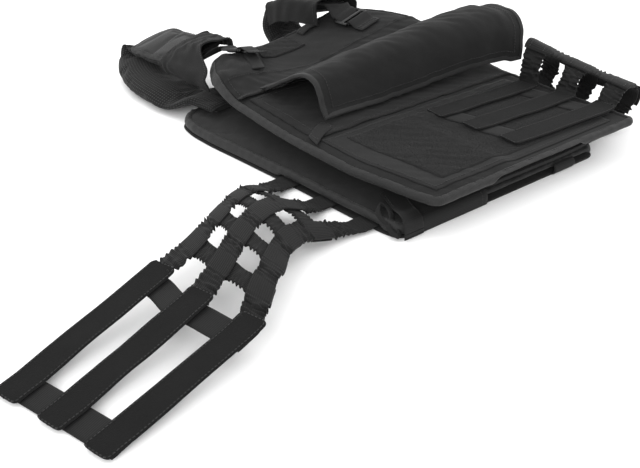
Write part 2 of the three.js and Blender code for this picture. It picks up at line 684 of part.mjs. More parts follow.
// Sleeves over the front end of each pad, open at their mouth, with the adjusting strap inside.
function sleeveSection(share) {
  const reach = PAD_WIDTH / 2 + 3 * GAP;
  const pad = -PAD_WALL / 2 - LAYER_GAP;
  const crown = pad - SLEEVE_BULGE * mix(0.25, 1, share);
  const shoulder = pad - SLEEVE_BULGE * 0.2 * share;
  const whole = (half) => [...half.map(([w, h]) => [-w, h]).reverse(), ...half];
  const inner = whole([
    [0.3 * reach, crown], [0.72 * reach, shoulder - GAP], [reach, shoulder / 2], [reach, -pad],
  ]);
  const outer = whole([
    [0.32 * reach, crown - SLEEVE_WALL], [0.78 * reach, shoulder - SLEEVE_WALL - GAP],
    [reach + SLEEVE_WALL, shoulder / 2], [reach + SLEEVE_WALL, -pad],
  ]);
  return [...inner, ...outer.reverse()];
}

// The last stations of a pad, with its sleeve's mouth beyond them.
function padTail(rows, x, fold) {
  const tail = rows.slice(-2);
  const path = padPath(tail, x, fold);
  const ahead = path[1].clone().sub(path[0]).normalize();
  path.push(path[1].clone().addScaledVector(ahead, SLEEVE_MOUTH));
  return { path, ahead, tilts: [...tail, tail.at(-1)].map((row) => row.tilt) };
}
const leftTail = padTail(leftPad, LEFT_PAD_X, LEFT_FOLD);
const rightTail = padTail(rightPad, RIGHT_PAD_X, RIGHT_FOLD);
add('left_pad_sleeve', 'cloth', loft(ribbon(leftTail.path, leftTail.tilts, sleeveSection, 6)));
add('right_pad_sleeve', 'cloth', loft(ribbon(rightTail.path, rightTail.tilts, sleeveSection, 6)));

// Ladder buckles on the front panel's two upper corners, each with two slots.
const buckleSeat = ({ x, y }) => GAP + Math.max(...[[-1, -1], [1, -1], [1, 1], [-1, 1]].map(([a, b]) => (
  frontHeight(x + a * BUCKLE_WIDTH / 2, y + b * BUCKLE_LENGTH / 2))));

function buckle(place) {
  const [w, h] = [BUCKLE_WIDTH / 2, BUCKLE_LENGTH / 2];
  const outline = new THREE.Shape();
  outline.moveTo(-w + BUCKLE_CORNER, -h);
  outline.lineTo(w - BUCKLE_CORNER, -h);
  outline.quadraticCurveTo(w, -h, w, -h + BUCKLE_CORNER);
  outline.lineTo(w, h - BUCKLE_CORNER);
  outline.quadraticCurveTo(w, h, w - BUCKLE_CORNER, h);
  outline.lineTo(-w + BUCKLE_CORNER, h);
  outline.quadraticCurveTo(-w, h, -w, h - BUCKLE_CORNER);
  outline.lineTo(-w, -h + BUCKLE_CORNER);
  outline.quadraticCurveTo(-w, -h, -w + BUCKLE_CORNER, -h);
  const slotWidth = w - BUCKLE_BAR;
  const slotLength = h - 1.5 * BUCKLE_BAR;
  for (const middle of [-(slotLength + BUCKLE_BAR) / 2, (slotLength + BUCKLE_BAR) / 2]) {
    const slot = new THREE.Path();
    slot.moveTo(-slotWidth, middle - slotLength / 2);
    slot.lineTo(-slotWidth, middle + slotLength / 2);
    slot.lineTo(slotWidth, middle + slotLength / 2);
    slot.lineTo(slotWidth, middle - slotLength / 2);
    slot.closePath();
    outline.holes.push(slot);
  }
  const extrusion = { depth: BUCKLE_WALL, bevelEnabled: false, curveSegments: 3 };
  const geometry = new THREE.ExtrudeGeometry(outline, extrusion);
  geometry.rotateZ(radians(place.turn));
  geometry.translate(place.x, place.y, buckleSeat(place));
  return geometry;
}

// The adjusting strap runs from inside the sleeve to the top of its buckle.
function addStrap(name, { path, ahead, tilts }, place) {
  const [padEnd, mouth] = path.slice(-2);
  const start = padEnd.clone().addScaledVector(ahead, STRAP_START);
  const end = vector(place.x, place.y, buckleSeat(place) + BUCKLE_WALL + STRAP_LANDING);
  const middle = mouth.clone().lerp(end, 0.5).add(vector(0, 0, STRAP_ARCH));
  const curve = new THREE.CatmullRomCurve3([start, mouth, middle, end], false, 'centripetal');
  const [from, to] = [tilts.at(-1), place.turn].map(radians);
  const first = vector(Math.cos(from), 0, Math.sin(from));
  const last = vector(Math.cos(to), Math.sin(to), 0);
  const side = (j) => first.clone().lerp(last, rise(0.15, 0.8, j / STRAP_CELLS));
  const geometry = band(curve.getPoints(STRAP_CELLS), side, STRAP_WIDTH, STRAP_WALL);
  add(`${name}_strap_buckle`, 'plastic', buckle(place));
  add(`${name}_shoulder_strap`, 'webbing', geometry);
}
addStrap('left', leftTail, LEFT_BUCKLE);
addStrap('right', rightTail, RIGHT_BUCKLE);

// Flap folded over the left part of the back panel's bottom edge, and a webbing loop further right.
function edgeWrap([left, right], rows, wall) {
  const face = (up) => (i, j) => {
    const { inside, above, outward } = rows[j];
    const x = mix(left, right, i / 4);
    const y = -BACK_BELOW + inside;
    return vector(x, y - outward * up, above(x, y) + (1 - Math.abs(outward)) * up);
  };
  return slab(4, rows.length - 1, face(wall), face(0));
}
const overLiner = (x, y) => backHeight(x, y) + 3 * LAYER_GAP;
const overEdge = () => BACK_RIM + LAYER_GAP;
const edgeNames = ['inside', 'above', 'outward'];
add('back_bottom_flap', 'cloth', edgeWrap(EDGE_FLAP, table(edgeNames, [
  [EDGE_FLAP_REACH, overLiner, 0],
  [EDGE_FLAP_REACH / 2, overLiner, 0],
  [BACK_BINDING + 3, () => BACK_RIM + GAP, 0],
  [BACK_BINDING - 2, overEdge, 0],
  [2, overEdge, 0.2],
  [-2 * LAYER_GAP, () => BACK_RIM * 0.8, 0.9],
  [-2 * LAYER_GAP, () => 1, 1],
]), CLOTH));
add('back_webbing_loop', 'webbing', edgeWrap(EDGE_LOOP, table(edgeNames, [
  [-LAYER_GAP, () => BACK_RIM * 0.86, 1],
  [-LAYER_GAP - EDGE_LOOP_BULGE, () => BACK_RIM * 0.65, 1],
  [-LAYER_GAP - EDGE_LOOP_BULGE, () => BACK_RIM * 0.3, 1],
  [-LAYER_GAP, () => 0.6, 1],
]), WEBBING_WALL));

// Pull tab at the flap's lower left corner, from the flap outwards.
const tabHeight = FRONT_TOP + GAP + PANEL_WALL + LAYER_GAP + TAB_LIFT;
const tabPath = [[-2, -8], [-16, -22], [-30, -36]].map(([x, y]) => vector(FLAP_LEFT_X + x, y, tabHeight));
add('flap_pull_tab', 'webbing', band(tabPath, () => vector(1, -1, 0), TAB_WIDTH, WEBBING_WALL));

// Cord clip at the neck, an arch of webbing.
const clipPath = [0, 3, 4, 3, 0].map((up, k) => {
  const x = CLIP_LEFT_X + k * CLIP_PITCH;
  const seat = frontHeight(x, CLIP_Y + WEBBING_WIDTH / 4) + GAP + WEBBING_WALL / 2;
  return vector(x, CLIP_Y, seat + up);
});
add('front_cord_clip', 'webbing', band(clipPath, () => vector(0, 1, 0), WEBBING_WIDTH / 2, WEBBING_WALL));

export default group;
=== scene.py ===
"""Dresses the frame of a folded black plate carrier vest: cloth, padding, webbing, pile and buckles.

Lengths in the tables are millimetres or shares of a named size, in the frame's own axes: the origin is
under the back panel, +Y points to the neck and +Z is up.
"""
import math

import bmesh
import bpy
import numpy as np
from bpy.props import FloatProperty, FloatVectorProperty, PointerProperty
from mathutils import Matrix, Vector


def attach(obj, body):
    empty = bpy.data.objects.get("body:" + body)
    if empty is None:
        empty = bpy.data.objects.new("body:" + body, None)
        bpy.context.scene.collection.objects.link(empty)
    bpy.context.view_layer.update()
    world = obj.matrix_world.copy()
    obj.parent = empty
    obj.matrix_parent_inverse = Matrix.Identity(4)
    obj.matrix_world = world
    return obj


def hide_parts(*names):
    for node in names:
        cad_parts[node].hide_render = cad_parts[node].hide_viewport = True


bl_info = {
    "name": "Folded plate carrier vest",
    "version": (1, 0, 0),
    "blender": (4, 5, 0),
    "location": "View3D > Sidebar > Vest",
    "description": "Builds the cloth, padding, webbing and fittings of a folded vest round its frame",
    "category": "Object",
}

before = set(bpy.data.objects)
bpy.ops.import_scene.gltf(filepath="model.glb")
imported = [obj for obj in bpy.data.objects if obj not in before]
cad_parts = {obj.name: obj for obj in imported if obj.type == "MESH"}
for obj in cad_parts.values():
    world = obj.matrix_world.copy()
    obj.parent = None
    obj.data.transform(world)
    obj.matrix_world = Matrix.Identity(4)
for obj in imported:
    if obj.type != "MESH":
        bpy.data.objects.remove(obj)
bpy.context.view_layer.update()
MM = 0.001

# Cloth thicknesses and clearances
GAP = 0.3
LAYER_GAP = 0.4
CLOTH = 2.5
LINER = 3.5
FIELD = 1.6
PANEL = 2.0
FLAP = 3.0
WEBBING_WIDTH = 25.0
WEBBING = 2.0

# Stitches and tufts: the share of its pitch that a stitch is long, and widths in metres
STITCH_SHARE = 0.78
STITCH_WIDTH = 0.0008
TUFT_RADIUS = 0.00022

# Back panel
BACK_WIDTH = 300.0
BACK_BELOW = 182.0
BACK_ABOVE = 192.0
BACK_RIM = 14.0
BACK_LINER_RIM = 11.5
BACK_CROWN = 20.5
BACK_EDGE = 9.0
BOTTOM_MOUTH = 6.0
SLOT_CENTRE_Y = -81.0
SLOT_PITCH = 59.0
SLOT_HEIGHT = 4.4
SLOT_REACH = SLOT_PITCH + 18.0
ROW_SEAT = 24.0
EDGE_RUN = 12.0
EDGE_REST = 6.0
ROW_START = (-ROW_SEAT, EDGE_RUN, EDGE_RUN + EDGE_REST)  # a row's first points, outward of the side edge
BACK_SECTIONS = [  # share up, then the left and right edges as shares of half the width
    (0, -0.98, 1), (0.06, -1.01, 1.01), (0.14, -1.02, 1.015), (0.23, -1.03, 1.02),
    (0.33, -1.035, 1.025), (0.48, -1.05, 1.037), (0.66, -1.075, 1.05), (0.8, -1.095, 1.06),
    (0.9, -1.085, 1.06), (0.96, -1.04, 1.02), (1, -0.92, 0.92),
]
BACK_ROLL = [  # the rolled edge's section: shares in from its rim, and up its height
    (0.12, 0), (0, 0.45), (0.2, 0.9), (0.55, 1.04), (1, 0.8), (1, 0),
]
BACK_CORNER = 12.0
BACK_SEAM_IN = 0.86  # share of the rolled edge's width
BACK_SEAM_DROP = 1.4
BACK_MOUTH = (-0.42, 0.94)  # its left and right ends, as shares of half the width

# Trim at the back panel's bottom edge and lower left corner
TUCK_LEFT, TUCK_RIGHT = -130.0, -30.0
TUCK_REACH = 44.0
TUCK_LIFT = 2.0
TUCK_WALL = 2.0
TUCK_OUT = 0.8
EDGE_LOOP_LEFT, EDGE_LOOP_RIGHT = 75.0, 107.0
EDGE_LOOP_OUT = 2.8
CORNER_STRAP = [  # places on the lining, and the height above it
    (-110, -124, 3.6), (-116, -142, 4.6), (-124, -162, 5),
]
CORNER_STRAP_END = [  # places round the rolled edge, and the height above its top
    (-130, -174, 4.8), (-133, -182, 3.2), (-134, -185.6, -3), (-134, -186, -12.4),
]
CORNER_STRAP_LEAN = 0.12
CORNER_STRAP_OPEN = (-1.5, -1.0, 4.5)  # how far its outer edge stands open
CORNER_SLOTS = {  # centre, direction, length and width
    "back_corner_slot": ((-141, -152, 15.5), (-0.5, -0.82, -0.2), 27, 8),
    "back_corner_pleat": ((-147, -172, 10), (-0.3, -0.75, -0.35), 15, 5.5),
}
SLOT_LIP = [  # the lip's section: out from the slot and up
    (-0.8, -2.8), (-0.5, 0.1), (0.6, 1.0), (2.2, 0.5), (5.2, -1.6), (4.4, -3),
]

# Front panel
FRONT_WIDTH = 310.0
FRONT_SHIFT = 28.0
FRONT_BELOW = 204.0
FRONT_ABOVE = 241.0
FRONT_TOP = 41.0
FRONT_EDGE = 7.0
NECK_LIFT = 6.0
EAR_LIFT = 28.0
FRONT_PLUMP = 3.6
EAR_PLUMP = 14.0
EAR_SPREAD = 28.0
FRONT_SECTIONS = [
    (0, -0.974, 1.026), (0.034, -1, 1.03), (0.12, -1.04, 1.035), (0.21, -1.084, 1.04),
    (0.3, -1.09, 1.045), (0.396, -1.086, 1.045), (0.47, -1.08, 1.045), (0.55, -1.07, 1.045),
    (0.62, -1.055, 1.045), (0.686, -1.04, 1.04), (0.73, -1.03, 1.035), (0.773, -1.01, 1.015),
    (0.83, -0.965, 0.97), (0.881, -0.885, 0.89), (0.935, -0.775, 0.79), (0.985, -0.65, 0.66),
    (1, -0.59, 0.6),
]
FRONT_ROLL = [(0.2, 0), (0, 0.3), (0.02, 0.68), (0.3, 1), (0.8, 1.03), (1, 0.8), (1, 0.03)]
FRONT_BRIM = 1.6
FRONT_CORNER = 9.0
FRONT_SEAM_IN = 0.75
FRONT_SEAM_UP = 1.3
FRONT_MOUTH_LEFT, FRONT_MOUTH_RIGHT, FRONT_MOUTH_TOP = (-46, -34), (88, 100), (-186, -176)
FRONT_MOUTH_FOOT = 0.6
EAR_LOW, EAR_HIGH = (100, 160), (196, 236)  # along y, where the left ear swells and sinks again
EAR_OUTER, EAR_INNER = (-9, 13), (30, 100)  # the same, in from the panel's left edge
STRIPS_LEFT, STRIPS_LOW, STRIPS_HIGH = (-18, 6), (-203, -190), (-78, -58)  # where wrinkles fade out
FRONT_LAYERS = {  # shares across and up the panel
    "upper": ((0, 1), (0.686, 0.773)), "middle": ((0.03, 1), (0.396, 0.676)),
    "field": ((0.03, 0.93), (0.034, 0.378)), "patch": ((0.27, 0.53), (0.881, 0.985)),
}
FIELD_TAPE = 1.1
FIELD_BORDER = 12.0
FIELD_SLANT = 8.0
FIELD_PILE = (-0.5, 1.0)  # its underside and its top, from the tape's top
UPPER_LIP = 3.6
MIDDLE_LIP = 0.8
LIP_RUN = (9, 7)  # how far in from a layer's lower and upper edge its lip fades out
LIP_LEFT = 70
FIELD_TUFTS = 600000
PATCH_TUFTS = 500000

# Flap: profiles at its left end, a third of the way and at its right end, each as shares of its
# length down from the hinge and up from the panel
FLAP_WIDTH = 298.0
FLAP_LENGTH = 150.0
FLAP_LEFT_X = -93.0
FLAP_HINGE_Y = 106.0
FLAP_PROFILES = [
    (0, 0, [(0, 0), (0.07, 0.03), (0.18, 0.1), (0.34, 0.19), (0.51, 0.245), (0.62, 0.225),
            (0.68, 0.145), (0.72, 0.05), (0.76, 0)]),
    (0.34, 0, [(0, 0), (0.07, 0.05), (0.19, 0.17), (0.37, 0.29), (0.54, 0.35), (0.65, 0.31),
               (0.705, 0.19), (0.73, 0.07), (0.74, -0.01)]),
    (1, -0.07, [(0, 0), (0.07, 0.07), (0.2, 0.17), (0.42, 0.29), (0.56, 0.3), (0.69, 0.275),
                (0.77, 0.18), (0.785, 0.05), (0.785, -0.075)]),
]
FLAP_CLOTH = FLAP - 1.0
FLAP_TAPE = [  # the folded tape's section: in from the flap's edge and out of its outer face
    (-1.4, 0.2), (-0.6, 1.1), (4.2, 0.7), (4.2, 0.05), (4.2, -1.75), (-0.6, -1.9), (-1.4, -1.2),
]
LINING_ROLL = (3.2, 1.3)  # half the width and half the thickness of the lining's turned edge
LINING_DROP = 1.6
HINGE_LAYERS = 5
HINGE_LAYER_START = 0.022  # shares of the way down the flap
HINGE_LAYER_STEP = 0.019
HINGE_LAYER = (2.4, 1.3)  # width and thickness
TAB_PATH = [  # right of the flap's left end, along the frame's y, and up
    (7, -5, 0), (-8, -13, 2.2), (-22, -21, 3.4), (-38, -31, 1.6),
]
TAB_SIDE = (-0.3, -0.95, 0.04)
TAB_WIDTH = 23.0
TAB_LIFT = 1.6

# Cummerbund
SKELETON = 250.0
HUMP = 42.0
ROW_WIDTH = 25.0
ROW_WALL = 3.0
COLUMN_GAP = 0.7
HOOK_LENGTH = 156.0
HOOK_WIDTH = 27.0
HOOK_WALL = 3.0
HOOK_OVERHANG = 4.0
HOOK_LAP = 7.0
ROW_END_GAP = 3.0
HOOK_PITCH = 49.5
LEFT_HOOK_TURN = 13.0
LEFT_HOOK_REST = 0.4
LOOP_REACH = 94.0
LOOP_CREST = 88.0
RIGHT_HOOK_X = 21.0
RIGHT_HOOK_Y = -109.0
RIGHT_HOOK_LENGTH = 148.0
RIGHT_HOOK_TURN = -3.5
RIGHT_HOOK_STAGGER = 7.0
LEFT_ROWS = [  # shares out and down of the skeleton's length, and up of the hump's height
    [(0.12, 0.025, 0.2), (0.2, 0.06, 0.4), (0.3, 0.115, 0.71), (0.425, 0.19, 0.93), (0.6, 0.3, 1),
     (0.76, 0.392, 0.93), (0.912, 0.424, 0.74)],
    [(0.12, 0.025, 0.22), (0.2, 0.045, 0.47), (0.325, 0.075, 0.84), (0.45, 0.125, 1),
     (0.6, 0.215, 1.02), (0.752, 0.325, 0.93), (0.9, 0.4, 0.71)],
    [(0.12, -0.004, 0.17), (0.224, 0, 0.36), (0.34, 0.012, 0.6), (0.45, 0.056, 0.74),
     (0.59, 0.165, 0.82), (0.7, 0.25, 0.81), (0.85, 0.376, 0.64)],
]
LEFT_COLUMNS = [0.34, 0.5, 0.66, 0.84]
LOOP_PROFILE = [  # shares out and turned, and up for the top, middle and bottom row
    (0.32, 0.06, 0.07, 0.07, 0.07), (0.66, 0.16, 0.11, 0.11, 0.11), (0.9, 0.26, 0.23, 0.22, 0.22),
    (1, 0.36, 0.42, 0.4, 0.39), (0.96, 0.46, 0.62, 0.57, 0.54), (0.8, 0.6, 0.8, 0.72, 0.66),
    (0.58, 0.76, 0.94, 0.82, 0.72), (0.41, 0.88, 0.985, 0.8, 0.68), (0.31, 0.94, 0.88, 0.73, 0.61),
    (0.26, 0.97, 0.72, 0.63, 0.565),
]
RIGHT_COLUMNS = [0.2, 0.4, 0.62, 0.8]
LEFT_FREE = (0.26, 1)  # shares of the rows' length between which they are gathered
RIGHT_FREE = (0.27, 0.97)
ROW_FRILL = 1.7  # height of the gathers at a row's edges
ROW_RUCK = 0.5  # and in its middle
ROW_CRUMPLE = 1.1
ROW_WAIST = 0.17  # share by which the gathers narrow a row or a column
SEAT = CLOTH + GAP + ROW_WALL / 2
COLUMN_SEAT = ROW_WALL / 2 + COLUMN_GAP
BAND_UNDER = HOOK_WALL / 2 + GAP + WEBBING / 2
LEFT_BAND_DROP = 0.2
HOOK_LAP_RISE = (3.0, 1.6)
HOOK_TIP = 5.0
HOOKS = 1000000

# Shoulders: pad stations as shares of the pad's reach and of its fold's height, and the tilt of its
# width in degrees
PAD_REACH = 196.0
PAD_WIDTH = 70.0
PAD_WALL = 11.0
LEFT_PAD_X, LEFT_FOLD = -119.0, 48.0
RIGHT_PAD_X, RIGHT_FOLD = 92.0, 74.0
LEFT_PAD = [
    (0.1, -0.2, 0.47, 0), (0.08, -0.05, 0.46, 0), (0.05, 0.03, 0.44, 0), (0, 0.15, 0.27, 2),
    (-0.02, 0.32, 0.2, 2), (-0.01, 0.55, 0.2, 2), (0.05, 0.75, 0.28, 2), (0.12, 0.88, 0.42, 4),
    (0.16, 0.93, 0.64, 8), (0.165, 0.88, 0.86, 12), (0.16, 0.76, 0.98, 15), (0.155, 0.6, 1.06, 16),
    (0.155, 0.42, 1.15, 16), (0.16, 0.24, 1.2, 15),
]
RIGHT_PAD = [
    (0.08, -0.2, 0.305, 0), (0.08, -0.05, 0.3, 0), (0.08, 0.03, 0.285, 0), (0.08, 0.15, 0.18, -2),
    (0.09, 0.32, 0.13, -2), (0.1, 0.52, 0.14, -2), (0.1, 0.66, 0.22, -2), (0.1, 0.73, 0.42, -2),
    (0.1, 0.715, 0.64, -4), (0.1, 0.63, 0.86, -6), (0.1, 0.5, 0.99, -8), (0.1, 0.36, 1.07, -8),
    (0.11, 0.22, 1.12, -8),
]
PAD_SECTION = [
    (-1, -0.2), (-0.93, -0.9), (0.93, -0.9), (1, -0.2), (0.98, 0.5), (0.8, 1), (-0.8, 1), (-0.98, 0.5),
]
PAD_SEAM = 0.84
PAD_HALF = PAD_WALL / 2 * 0.85  # half its thickness before it is filled
PAD_SWELL = 5.0
PAD_BULGE = {"left": 8.0, "right": 6.0}
SLEEVE_WALL = 2.0
SLEEVE_BULGE = 9.0
SLEEVE_MOUTH = 16.0
SLEEVE_HEM = 1.0
SLEEVE_GIRTH = 110.0
SLEEVE_DRAPE = {  # the pad's last stations that it follows, its seed, and how its outer side hangs
    "left": {"last": 2, "seed": 50, "skirt": 7, "tongue": 44},
    "right": {"last": 4, "seed": 60, "skirt": 17, "tongue": 4},
}
STRAP_WIDTH = 38.0
STRAP_EASE = 3.0
STRAP_WALL = 1.8
STRAP_START = 1.3
BUCKLE = (44.0, 26.0, 3.0)
BUCKLE_BAR = 4.0
BUCKLE_CORNER = 3.2
BUCKLE_ROUNDING = 0.9
BUCKLE_LIFT = 2.7
LEFT_BUCKLE = (-57.0, 205.0, 30.0)
RIGHT_BUCKLE = (116.0, 189.0, 6.0)
STRAP_IN_BUCKLE = [  # along the strap and up, from the buckle's middle
    (17, 4.6), (11, 4.4), (8, 2.4), (4, -0.7), (0, -1.4), (-4, -0.7), (-8, 2.4), (-11, 4.4), (-16, 2.4),
    (-22, -0.9), (-34, -1.1),
]
STRAP_TAIL = [(-54, 184, 5.2), (-56, 174, 4.6), (-60, 162, 3.8), (-66, 149, 3)]
STRAP_TAIL_WIDTH = 15.0

# Webbing arch at the neck
ARCH_LEFT_X = 54.0
ARCH_LENGTH = 28.0
ARCH_Y = 221.0
ARCH_RISE = 4.2

# Camera: where it looks, in millimetres, and from which side, in degrees
LOOK_AT = (-198.0, -123.0, 0.0)
CAMERA_TURN = -39.8
CAMERA_RISE = 29.4
CAMERA_AWAY = 957.0
CAMERA_LENS = 56.25
CAMERA_SENSOR = 36.0

# Stage: the floor's half side and each light's place and size in metres, and its power in watts
FLOOR_REACH = 4.0
LIGHTS = {
    "key": ((-0.4, 1.3, 2.2), 2.0, 17), "fill": ((-2.2, -1.6, 1.2), 2.0, 54),
    "side": ((2.0, -0.6, 1.6), 1.6, 17),
}
ROOM_LIGHT = 1.2


class VestSizes(bpy.types.PropertyGroup):
    """Sizes of the surface detail."""

    thread: FloatProperty(
        name="Thread pitch", description="Distance between the threads of the weave",
        default=0.0016, min=0.0004, unit="LENGTH",
    )
    stitch: FloatProperty(
        name="Stitch pitch", description="Distance from one stitch to the next",
        default=0.0036, min=0.001, unit="LENGTH",
    )
    gather: FloatProperty(
        name="Gather pitch", description="Distance between the gathers of the elastic rows",
        default=0.0054, min=0.003, unit="LENGTH",
    )
    wrinkle: FloatProperty(
        name="Wrinkle height", description="Height of the soft folds in the panels' cloth",
        default=0.0011, min=0.0, unit="LENGTH",
    )
    pile: FloatProperty(
        name="Pile height", description="Height of the hooks and loops that stand on their tapes",
        default=0.0008, min=0.0002, unit="LENGTH",
    )


def from_hex(code):
    """An sRGB hex colour as linear red, green and blue."""
    parts = [int(code[k:k + 2], 16) / 255 for k in (0, 2, 4)]
    return [c / 12.92 if c <= 0.04045 else ((c + 0.055) / 1.055) ** 2.4 for c in parts]


def colour(name, description, code):
    """A colour property whose default is an sRGB hex value."""
    return FloatVectorProperty(
        name=name, description=description, default=from_hex(code), subtype="COLOR", min=0, max=1,
    )


class VestColours(bpy.types.PropertyGroup):
    """Colours of the vest's finishes."""

    cloth: colour("Nylon cloth", "Woven nylon of the panels and the flap", "161616")
    lining: colour("Lining", "Smooth lining cloth of the padded sides", "181818")
    tape: colour("Edging tape", "Folded tape along the edges", "181818")
    pile: colour("Pile", "Loop pile of the front fields", "1a1a1a")
    hook: colour("Hook tape", "Hook strips of the cummerbund", "0d0d0d")
    webbing: colour("Webbing", "Flat woven webbing", "131313")
    elastic: colour("Elastic", "Gathered elastic rows", "101010")
    padding: colour("Pad cloth", "Outer cloth of the shoulder pads", "141414")
    mesh: colour("Spacer mesh", "Knitted mesh on the pads' inner side", "181818")
    plastic: colour("Plastic", "Moulded buckles", "0c0c0c")
    thread: colour("Thread", "Sewing thread", "1d1d1d")
    floor: colour("Floor", "Plain pale floor", "f4f4f4")


def rise(low, high, at):
    """A smooth step from 0 at low to 1 at high."""
    t = np.clip((np.asarray(at, float) - low) / (high - low), 0, 1)
    return t * t * (3 - 2 * t)


def mix(a, b, share):
    """A value between a and b."""
    return a + (b - a) * share


def unit(v):
    """Vectors of the same directions, each 1 long."""
    return v / np.maximum(np.linalg.norm(v, axis=-1, keepdims=True), 1e-9)


def ripple(x, y, size, seed):
    """Soft noise from -1 to 1 that changes over about that size, the same on every run."""
    source = np.random.default_rng(seed)
    total = np.zeros(np.broadcast(x, y).shape)
    for turn, wave, phase in zip(source.uniform(0, math.pi, 7), source.uniform(0.6, 1.7, 7),
                                 source.uniform(0, 6.28, 7)):
        total += np.sin((x * math.cos(turn) + y * math.sin(turn)) * 6.28 / (size * wave) + phase)
    return total / 3.5


SPAN_STEPS = 24


class Curve:
    """A centripetal Catmull-Rom curve through points, read by the share of its length."""

    def __init__(self, points):
        p = np.asarray(points, float)
        p = np.vstack([2 * p[0] - p[1], p, 2 * p[-1] - p[-2]])
        t = np.linspace(0, 1, SPAN_STEPS, endpoint=False)[:, None]
        runs = []
        for a, b, c, d in zip(p, p[1:], p[2:], p[3:]):
            u, v, w = (max(np.linalg.norm(q) ** 0.5, 1e-4) for q in (b - a, c - b, d - c))
            start = ((b - a) / u - (c - a) / (u + v) + (c - b) / v) * v
            end = ((c - b) / v - (d - b) / (v + w) + (d - c) / w) * v
            runs.append(b * (2 * t**3 - 3 * t**2 + 1) + c * (3 * t**2 - 2 * t**3)
                        + start * (t**3 - 2 * t**2 + t) + end * (t**3 - t**2))
        self.line = np.vstack([*runs, p[-2:-1]])
        steps = np.linalg.norm(np.diff(self.line, axis=0), axis=1)
        self.along = np.concatenate([[0], np.cumsum(steps)])
        self.length = self.along[-1]

    def at(self, share):
        """Points at shares of the length."""
        s = np.clip(share, 0, 1) * self.length
        return np.stack([np.interp(s, self.along, axis) for axis in self.line.T], -1)

    def tangent(self, share):
        """Directions along the curve at shares of the length."""
        return unit(self.at(np.minimum(np.asarray(share) + 0.004, 1))
                    - self.at(np.maximum(np.asarray(share) - 0.004, 0)))


def grid_faces(rows, columns, wrap=False, closed=False, start=0, turned=False):
    """Quads over a grid of points, with each corner's place on the grid, for the UV map."""
    r, c = np.meshgrid(
        np.arange(rows if closed else rows - 1), np.arange(columns if wrap else columns - 1),
        indexing="ij",
    )
    corners = [(r, c), (r, c + 1), (r + 1, c + 1), (r + 1, c)]
    if turned:
        corners.reverse()
    faces = [start + (a % rows) * columns + b % columns for a, b in corners]
    places = [np.stack([a, b], -1) for a, b in corners]
    return np.stack(faces, -1).reshape(-1, 4), np.stack(places, -2).reshape(-1, 4, 2)


def run_lengths(points, axis, closed=False):
    """Distances along a grid of points, down one of its axes, in millimetres."""
    if closed:
        points = np.concatenate([points, np.take(points, [0], axis)], axis)
    steps = np.linalg.norm(np.diff(points, axis=axis), axis=-1)
    steps = steps.mean(axis=1 - axis)
    return np.concatenate([[0], np.cumsum(steps)])


def new_mesh(name, points, faces, uvs):
    """A mesh from points in millimetres, with one UV in millimetres for each corner."""
    mesh = bpy.data.meshes.new(name)
    mesh.from_pydata((np.asarray(points) * MM).tolist(), [], [list(map(int, f)) for f in faces])
    layer = mesh.uv_layers.new(name="Cloth")
    layer.data.foreach_set("uv", (np.asarray(uvs, float) * MM).ravel())
    a, b, c = (mesh_corner(mesh, k) for k in range(3))
    if np.einsum("ij,ij->i", a, np.cross(b, c)).sum() < 0:
        mesh.flip_normals()
    mesh.shade_smooth()
    mesh.set_sharp_from_angle(angle=math.radians(55))
    return mesh


def mesh_corner(mesh, k):
    """The k-th corner of every triangle of a mesh."""
    mesh.calc_loop_triangles()
    points = np.zeros(len(mesh.vertices) * 3)
    mesh.vertices.foreach_get("co", points)
    corners = np.zeros(len(mesh.loop_triangles) * 3, int)
    mesh.loop_triangles.foreach_get("vertices", corners)
    return points.reshape(-1, 3)[corners.reshape(-1, 3)[:, k]]


def slab_mesh(name, top, bottom, rounding=0.4):
    """A closed sheet between two grids of points, with a rounded rim."""
    rows, columns = top.shape[:2]
    middle = mix(top, bottom, 0.5)
    faces, places = grid_faces(rows, columns)
    below, below_places = grid_faces(rows, columns, start=rows * columns, turned=True)
    along, across = run_lengths(middle, 0), run_lengths(middle, 1)
    rim = [(0, c) for c in range(columns - 1)] + [(r, columns - 1) for r in range(rows - 1)]
    rim += [(rows - 1, c) for c in range(columns - 1, 0, -1)] + [(r, 0) for r in range(rows - 1, 0, -1)]
    rim = np.array(rim)
    inner = np.clip(rim, 1, [rows - 2, columns - 2])
    edge, nearby = middle[rim[:, 0], rim[:, 1]], middle[inner[:, 0], inner[:, 1]]
    wall = np.linalg.norm(top - bottom, axis=-1)[rim[:, 0], rim[:, 1]][:, None]
    lip = edge + unit(edge - nearby) * wall * rounding
    count = len(rim)
    start = 2 * rows * columns
    upper = rim[:, 0] * columns + rim[:, 1]
    quads, corners = [], []
    for k in range(count):
        n = (k + 1) % count
        a, b = upper[k], upper[n]
        quads.append((a, start + k, start + n, b))
        quads.append((start + k, a + rows * columns, b + rows * columns, start + n))
        corners += [(rim[k], rim[k], rim[n], rim[n])] * 2
    places = np.concatenate([places, below_places, np.array(corners)])
    points = np.concatenate([top.reshape(-1, 3), bottom.reshape(-1, 3), lip])
    uvs = np.stack([across[places[..., 1]], along[places[..., 0]]], -1)
    return new_mesh(name, points, np.concatenate([faces, below, np.array(quads)]), uvs)


def loft_mesh(name, rings, closed=False):
    """A body through closed rings of points, open ends shut by one face each."""
    rows, columns = rings.shape[:2]
    faces, places = grid_faces(rows, columns, wrap=True, closed=closed)
    along, across = run_lengths(rings, 0, closed), run_lengths(rings, 1, True)
    uvs = [np.array([across[p[1]], along[p[0]]]) for p in places.reshape(-1, 2)]
    faces = [tuple(f) for f in faces]
    if not closed:
        faces.append(tuple(range(columns - 1, -1, -1)))
        faces.append(tuple((rows - 1) * columns + k for k in range(columns)))
        uvs += [np.array([across[k], 0]) for k in range(columns)] * 2
    return new_mesh(name, rings.reshape(-1, 3), faces, np.array(uvs))


